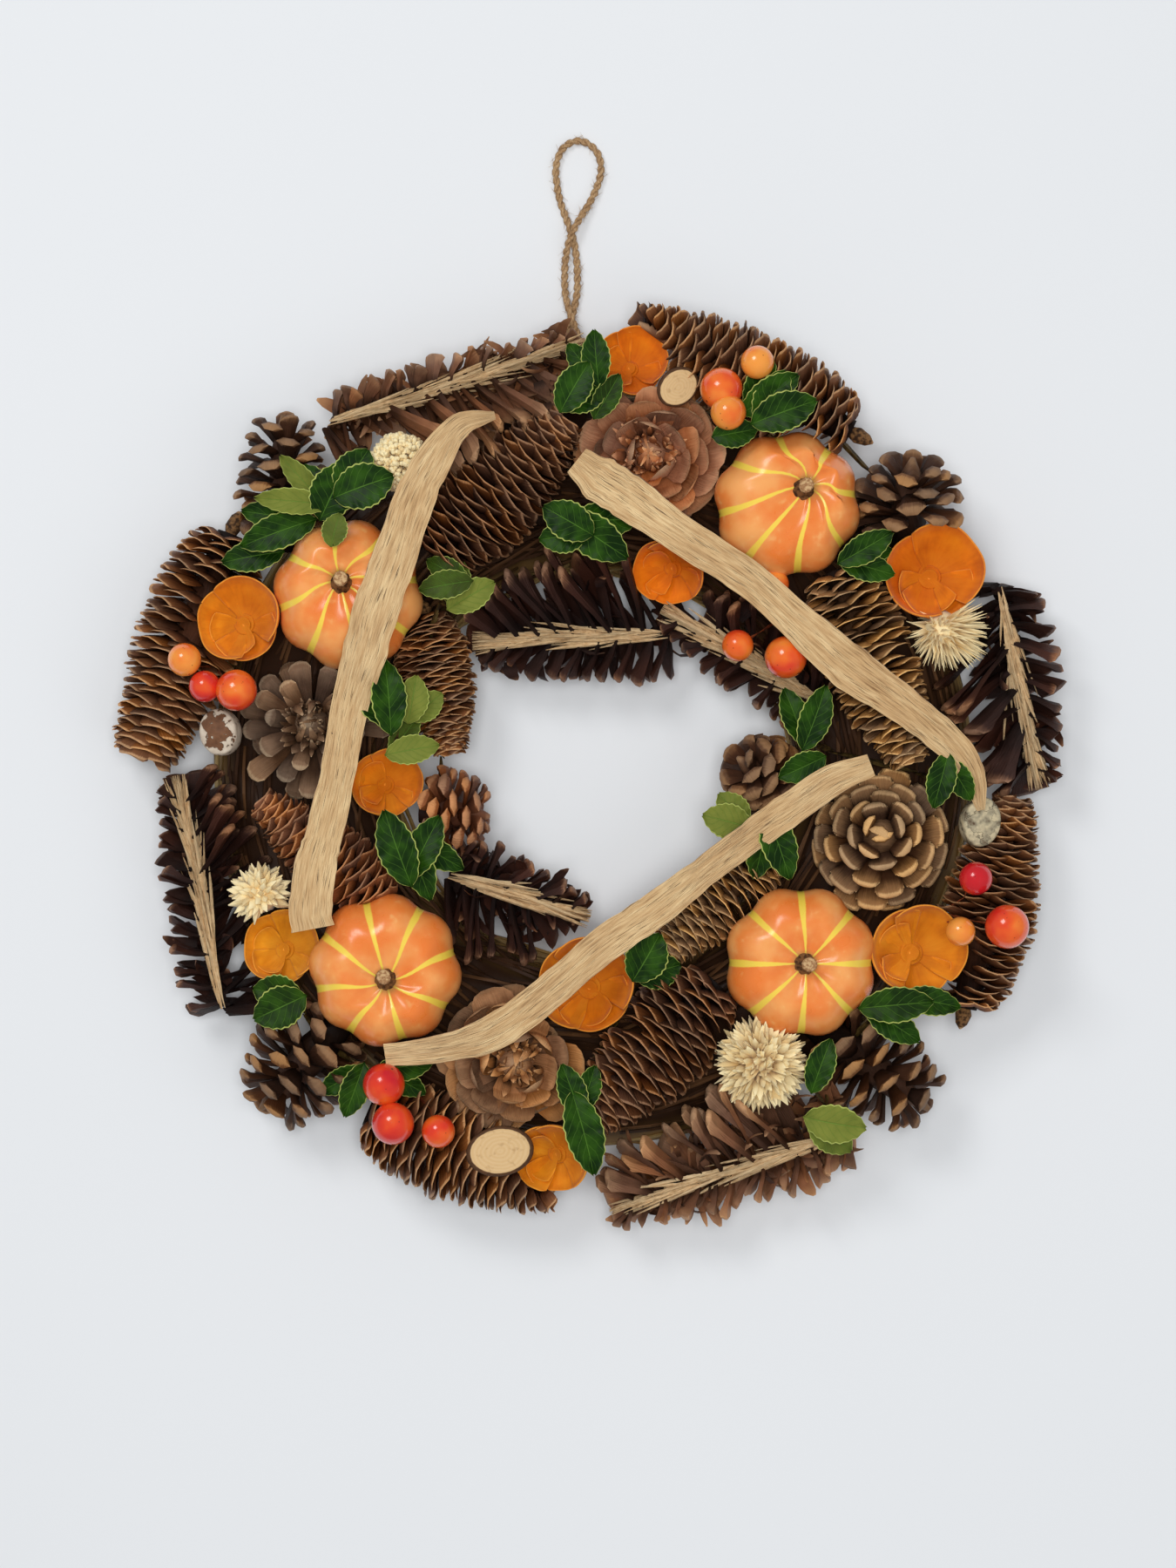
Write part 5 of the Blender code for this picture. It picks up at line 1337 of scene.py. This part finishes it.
def leaf_shape():
    """One toothed leaf: a grid drawn in to a leaf's outline, arched, and folded at its midrib."""
    deselect()
    stations = len(LEAF_WIDTHS)
    bpy.ops.mesh.primitive_grid_add(x_subdivisions=stations - 1, y_subdivisions=8, size=1)
    leaf = active()
    points = points_of(leaf.data)
    set_grain(leaf, points[:, 1] + 0.5, points[:, 0] + 0.5)
    bpy.ops.object.mode_set(mode="EDIT")
    for k in range(9):
        b = (k - 4) / 8
        select_points(leaf, lambda p, y=b: abs(p.y - y) < 1e-4)
        bpy.ops.transform.translate(value=(0, 0, 0.13 * abs(b) + (0.010 if k % 2 else 0.0)))
    for i in range(stations):
        a = i / (stations - 1) - 0.5
        wave = 0.035 * math.sin(2.2 * i)
        for sign in (-1, 1):
            select_points(leaf, lambda p, x=a, s=sign: abs(p.x - x) < 1e-4 and p.y * s > 0.30)
            bpy.ops.transform.translate(value=(0.02 if i % 2 == 0 else 0.0, 0, wave * sign))
    for i, width in enumerate(LEAF_WIDTHS):
        a = i / (stations - 1) - 0.5
        select_points(leaf, lambda p, x=a: abs(p.x - x) < 0.022)
        bpy.ops.transform.resize(value=(1, width, 1), center_override=(a, 0, 0))
        bpy.ops.transform.translate(value=(0, 0, 0.10 * (1 - 4 * a * a)))
    bpy.ops.object.mode_set(mode="OBJECT")
    apply_modifier(leaf, "SOLIDIFY", thickness=0.018, offset=0.0)
    subdivide_smooth(leaf)
    bpy.ops.object.shade_smooth()
    leaf.data.materials.append(look_of("leaf_blade"))
    return leaf


def leafy_spray(shapes, name):
    """Leaves on stalks from the nearest bend of their stem, each with a second leaf under it."""
    stem, leaves = LEAVES[name]
    rng = random.Random(name)
    blade = shapes.keep("leaf", leaf_shape)
    rod = shapes.get("sliver", "leaf_stem")
    places = [(rod, axis_place(a, b) @ sized((Vector(b) - Vector(a)).length * 1.06, 2.4, 2.4), 0.4)
              for a, b in zip(stem, stem[1:])]
    for x, y, z, heading, length, width, tone in leaves:
        place = shifted(x, y, z) @ rotated(heading, "Z")
        foot = place @ (Vector((-0.42 * length, 0, 0.03 * length)) * MM) / MM
        joint = min((Vector(p) for p in stem), key=lambda p: (p - foot).length)
        stalk = axis_place(joint, foot) @ sized((foot - joint).length * 1.05, 1.6, 1.6)
        places.append((rod, stalk, 0.5))
        roll = rotated(rng.uniform(-12, 12), "X")
        places.append((blade, place @ roll @ sized(length, width * 1.30, length * 1.10),
                       min(1.0, tone + rng.uniform(0, 0.12))))
        turn = rng.choice((-1, 1)) * rng.uniform(28, 50)
        under = (place @ Matrix.Translation((-0.42 * length * MM, 0, -3.0 * MM))
                 @ rotated(turn, "Z") @ rotated(rng.uniform(0, 9), "Y")
                 @ Matrix.Translation((0.45 * length * MM, 0, 0)) @ roll
                 @ sized(length * 0.9, width * 1.15, length * 0.95))
        shade = min(1.0, tone * 0.6 + rng.uniform(0, 0.2))
        if clears_neighbours(under, ((0, 0, 0), (0.4, 0, 0))):
            places.append((blade, under, shade))
    return put_copies(name + "_dressed", places)


def straw_ring(settings):
    """A straw base: a flat-backed ring, and loose stalks laid round it."""
    deselect()
    bpy.ops.mesh.primitive_torus_add(
        major_radius=RING_RADIUS * MM, minor_radius=RING_HALF_WIDTH * MM, major_segments=96,
        minor_segments=24)
    ring = active()
    ring.name = ring.data.name = "straw_base"
    bpy.ops.object.mode_set(mode="EDIT")
    bpy.ops.mesh.select_all(action="SELECT")
    bpy.ops.transform.resize(value=(1, 1, 0.50), center_override=(0, 0, 0))
    bpy.ops.mesh.bisect(plane_co=(0, 0, 0.0), plane_no=(0, 0, 1), clear_inner=True)
    select_points(ring, lambda p: abs(p.z) < 1e-6)
    bpy.ops.mesh.select_mode(type="EDGE")
    bpy.ops.mesh.bridge_edge_loops()
    bpy.ops.mesh.select_all(action="SELECT")
    bpy.ops.mesh.normals_make_consistent(inside=False)
    bpy.ops.object.mode_set(mode="OBJECT")
    set_grain(ring, 0.5, 0.5, 0.1)
    bpy.ops.object.shade_smooth_by_angle(angle=math.radians(50))
    ring.data.materials.append(look_of("straw_stalks"))
    stalk = grown_bar("stalk", 4, [
        (0.0, 0.0, 0.9, 0.9), (0.34, 0.6, 1.0, 1.0), (0.66, 0.6, 1.0, 1.0), (1.0, 0.0, 0.7, 0.7)],
        look_of("straw_stalks"))
    rng = random.Random(11)
    places = []
    for _ in range(settings.straw_count):
        length = rng.uniform(24, 52)
        around = rng.uniform(0, math.tau)
        section = rng.uniform(-0.25, math.pi + 0.25)
        out = Vector((math.cos(section), max(-0.02, math.sin(section))))
        middle, height = RING_RADIUS + 34.0 * out.x, 0.9 + 16.4 * max(0.0, out.y) ** 0.8
        if section < 0 or section > math.pi:
            middle, height = RING_RADIUS + rng.uniform(-31, 31), 0.85
        normal = -UP
        if height > 1:
            normal = Vector((out.x, 0, max(0.05, out.y))).normalized()
        laid = Matrix(((normal.x, 0, normal.z), (normal.z, 0, -normal.x), (0, 1, 0)))
        sag = (length * length) / (8 * middle) * MM * normal.x
        turned = (Matrix.Rotation(around, 4, "Z") @ shifted(middle, 0, height)
                  @ laid.transposed().to_4x4() @ rotated(rng.uniform(-9, 9), "X")
                  @ Matrix.Translation((-sag, 0, -length / 2 * MM)))
        places.append((stalk, lifted(stalk, turned @ sized(length, 1.7, 1.5)), rng.random()))
    stalks = put_copies("straw_stalks", places)
    drop([stalk])
    return join_as("straw_ring_dressed", [ring, stalks])


# The twine

PLY_RADIUS = 0.82
PLY_OFFSET = 0.68  # of a ply's middle from the twine's
PLY_TURN = 6.5  # length of twine in which a ply turns once


def ply(name, route):
    """One ply of the twine along the route, from a bevelled curve."""
    curve = bpy.data.curves.new(name, "CURVE")
    curve.dimensions = "3D"
    curve.bevel_depth = PLY_RADIUS * MM
    curve.bevel_resolution = 1
    curve.use_fill_caps = True
    spline = curve.splines.new("POLY")
    spline.points.add(len(route) - 1)
    for point, place in zip(spline.points, route):
        point.co = (*(place * MM), 1.0)
    made = bpy.data.objects.new(name, curve)
    bpy.context.scene.collection.objects.link(made)
    activate(made)
    bpy.ops.object.convert(target="MESH")
    made = active()
    set_grain(made, 0.5, 0.5)
    made.data.materials.clear()
    made.data.materials.append(look_of("jute_twine"))
    bpy.ops.object.shade_smooth()
    return made


def plied_twine(name, route, settings):
    """Two plies turned round the route, and loose fibres that stand out from them."""
    frames, side = [], UP
    for i, place in enumerate(route):
        along = (route[min(i + 1, len(route) - 1)] - route[max(i - 1, 0)]).normalized()
        side = (side - along * side.dot(along)).normalized()
        frames.append((place, along, side, along.cross(side)))
    plies = []
    for start in (0.0, math.pi):
        turned, gone = [], 0.0
        for i, (place, _, side, up) in enumerate(frames):
            if i:
                gone += (route[i] - route[i - 1]).length
            turn = start + gone / PLY_TURN * math.tau
            turned.append(place + (side * math.cos(turn) + up * math.sin(turn)) * PLY_OFFSET)
        plies.append(ply(name, turned))
    rng = random.Random(5)
    fibre = grown_bar("fibre", 3, [
        (0.0, 0.0, 1.0, 1.0), (0.5, 2.0, 0.8, 0.8), (1.0, 6.0, 0.3, 0.3)], look_of("jute_twine"))
    places = []
    for _ in range(settings.twine_fibres):
        place, along, side, up = frames[rng.randrange(2, len(frames) - 2)]
        turn = rng.uniform(0, math.tau)
        out = side * math.cos(turn) + up * math.sin(turn)
        away = (out * rng.uniform(0.25, 0.8) + along * rng.choice((-1, 1))).normalized()
        start = place + out * 1.15
        far = rng.uniform(1.6, 3.0)
        if min(start.z, (start + away * far).z) > 1.3:
            places.append((fibre, axis_place(start, start + away, rng.uniform(0, 360))
                           @ sized(far, 0.16, 0.16), rng.random()))
    hairs = put_copies("twine_fibres", places)
    drop([fibre])
    return join_as(name, [*plies, hairs])


# The add-on

SENSOR, LENS = 36, 94.85
# Lamps: name, place and size in metres, power in watts.
LAMPS = (
    ("key", (-0.8, 1.0, 1.8), 0.7, 12),
    ("fill", (1.2, -0.7, 1.8), 1.6, 6),
    ("above", (0.0, 0.0, 2.6), 0.9, 35),
)


class WreathSettings(bpy.types.PropertyGroup):
    """Sizes and counts that a user would change."""
    twine_diameter: bpy.props.FloatProperty(
        name="Twine diameter", description="Thickness of the hanging twine", default=3 * MM,
        unit="LENGTH")
    twine_fibres: bpy.props.IntProperty(
        name="Twine fibres", description="Loose fibres that stand out from the twine", default=560)
    straw_count: bpy.props.IntProperty(
        name="Straw stalks", description="Stalks laid round the straw ring", default=900)
    camera_height: bpy.props.FloatProperty(
        name="Camera height", description="Height of the camera above the floor", default=1.60,
        unit="LENGTH")
    floor_size: bpy.props.FloatProperty(
        name="Floor size", description="Side of the pale floor", default=6.0, unit="LENGTH")


def dress(table, build, slot):
    """Makes the piece of each name in the table from shapes that they share, and settles it."""
    shapes = Shapes()
    for name in table:
        settle(build(shapes, name), name, slot=slot)
    shapes.drop()
    return {"FINISHED"}


class WREATH_OT_stage(bpy.types.Operator):
    """Adds the camera, the pale floor and the soft studio lights"""
    bl_idname = "wreath.stage"
    bl_label = "Camera, floor and lights"

    def execute(self, context):
        settings = context.scene.wreath
        camera = bpy.data.cameras.new("camera")
        camera.sensor_fit, camera.sensor_width, camera.sensor_height = "VERTICAL", SENSOR, SENSOR
        camera.lens = LENS
        camera.clip_end = 50
        eye = bpy.data.objects.new("camera", camera)
        eye.location = (-1.8 * MM, -6.6 * MM, settings.camera_height)
        context.scene.collection.objects.link(eye)
        context.scene.camera = eye
        deselect()
        bpy.ops.mesh.primitive_plane_add(size=settings.floor_size, location=(0, 0, 0))
        floor = active()
        floor.name = floor.data.name = "floor"
        bpy.ops.object.mode_set(mode="EDIT")
        bpy.ops.mesh.subdivide(number_cuts=3)
        bpy.ops.object.mode_set(mode="OBJECT")
        paper = Finish("pale_floor", 0.9)
        paper.colour(paper.mix(paper.noise(2.0), rgb(0.905, 0.915, 0.925),
                               rgb(0.915, 0.925, 0.935)))
        floor.data.materials.append(paper.made)
        for name, place, size, power in LAMPS:
            light = bpy.data.lights.new(name, "AREA")
            light.size, light.energy = size, power
            lamp = bpy.data.objects.new(name, light)
            lamp.location = place
            lamp.visible_glossy = name == "key"
            lamp.rotation_euler = (-Vector(place)).to_track_quat("-Z", "Y").to_euler()
            context.scene.collection.objects.link(lamp)
        world = bpy.data.worlds.new("studio")
        world.use_nodes = True
        sky = world.node_tree.nodes["Background"].inputs
        sky["Color"].default_value, sky["Strength"].default_value = (0.95, 0.97, 1.0, 1.0), 0.24
        context.scene.world = world
        context.scene.view_settings.view_transform = "Standard"
        return {"FINISHED"}


class WREATH_OT_twine(bpy.types.Operator):
    """Adds the twine loop that the wreath hangs by"""
    bl_idname = "wreath.twine"
    bl_label = "Twine loop"

    def execute(self, context):
        settings = context.scene.wreath
        route = smooth_route(TWINE_ROUTE, 8)
        twine = plied_twine("twine_loop", route, settings)
        settle(twine, "hanging_twine", slot="jute")
        length = sum((b - a).length for a, b in zip(route, route[1:]))
        [tuple(p * MM) for p in route]
        return {"FINISHED"}


class WREATH_OT_straw_ring(bpy.types.Operator):
    """Adds the straw ring that carries everything"""
    bl_idname = "wreath.straw_ring"
    bl_label = "Straw ring"

    def execute(self, context):
        settle(straw_ring(context.scene.wreath), "straw_ring", slot="straw")
        return {"FINISHED"}


class WREATH_OT_cones(bpy.types.Operator):
    """Adds the whole cones, the rosettes and the sawn cones"""
    bl_idname = "wreath.cones"
    bl_label = "Cones"

    def execute(self, context):
        shapes = Shapes()
        for node, names in cone_nodes().items():
            places = [place for name in names for place in cone_places(shapes, name)]
            settle(put_copies(node + "_dressed", places), node, slot=cone_slot(node))
        shapes.drop()
        return {"FINISHED"}


class WREATH_OT_pumpkins(bpy.types.Operator):
    """Adds the four small pumpkins"""
    bl_idname = "wreath.pumpkins"
    bl_label = "Pumpkins"

    def execute(self, context):
        for name in PUMPKINS:
            settle(pumpkin(name), name, slot="pumpkin")
        return {"FINISHED"}


class WREATH_OT_berries(bpy.types.Operator):
    """Adds the berry sprays"""
    bl_idname = "wreath.berries"
    bl_label = "Berries"

    def execute(self, context):
        return dress(SPRAYS, berry_spray, "berry")


class WREATH_OT_cups(bpy.types.Operator):
    """Adds the cups of dyed wood shaving"""
    bl_idname = "wreath.cups"
    bl_label = "Shaving cups"

    def execute(self, context):
        return dress(CUPS, cup, "shaving")


class WREATH_OT_heads(bpy.types.Operator):
    """Adds the cream dried heads"""
    bl_idname = "wreath.heads"
    bl_label = "Dried heads"

    def execute(self, context):
        return dress(HEADS, dried_head, "cream")


class WREATH_OT_discs(bpy.types.Operator):
    """Adds the wood slices and the seed pods"""
    bl_idname = "wreath.discs"
    bl_label = "Wood slices and pods"

    def execute(self, context):
        for table, look, slot, worn in ((SLICES, "wood_slice", "slice", 0.0),
                                        (PODS, "seed_pod", "pod", 0.05)):
            for name, row in table.items():
                settle(round_disc(name + "_dressed", *row, look, worn), name, slot=slot)
        return {"FINISHED"}


class WREATH_OT_strips(bpy.types.Operator):
    """Adds the three strips of dried leaf"""
    bl_idname = "wreath.strips"
    bl_label = "Dried strips"

    def execute(self, context):
        for name in STRIPS:
            settle(dried_strip(name), name, slot="dried_leaf")
        return {"FINISHED"}


class WREATH_OT_leaves(bpy.types.Operator):
    """Adds the sprays of green leaves"""
    bl_idname = "wreath.leaves"
    bl_label = "Green leaves"

    def execute(self, context):
        return dress(LEAVES, leafy_spray, "leaf")


OPERATORS = (
    WREATH_OT_stage, WREATH_OT_twine, WREATH_OT_straw_ring, WREATH_OT_cones, WREATH_OT_pumpkins,
    WREATH_OT_berries, WREATH_OT_cups, WREATH_OT_heads, WREATH_OT_discs, WREATH_OT_strips,
    WREATH_OT_leaves)


class WREATH_PT_panel(bpy.types.Panel):
    """Lists the pieces of the wreath"""
    bl_idname = "WREATH_PT_panel"
    bl_label = "Autumn wreath"
    bl_space_type = "VIEW_3D"
    bl_region_type = "UI"
    bl_category = "Wreath"

    def draw(self, context):
        settings = context.scene.wreath
        for name in ("camera_height", "floor_size", "twine_diameter", "twine_fibres",
                     "straw_count"):
            self.layout.prop(settings, name)
        for operator in OPERATORS:
            self.layout.operator(operator.bl_idname)


CLASSES = (WreathSettings, *OPERATORS, WREATH_PT_panel)


def register():
    for made in CLASSES:
        bpy.utils.register_class(made)
    bpy.types.Scene.wreath = bpy.props.PointerProperty(type=WreathSettings)


def unregister():
    del bpy.types.Scene.wreath
    for made in reversed(CLASSES):
        bpy.utils.unregister_class(made)


def main():
    register()
    for operator in OPERATORS:
        group, name = operator.bl_idname.split(".")
        getattr(getattr(bpy.ops, group), name)()


if __name__ == "__main__":
    main()
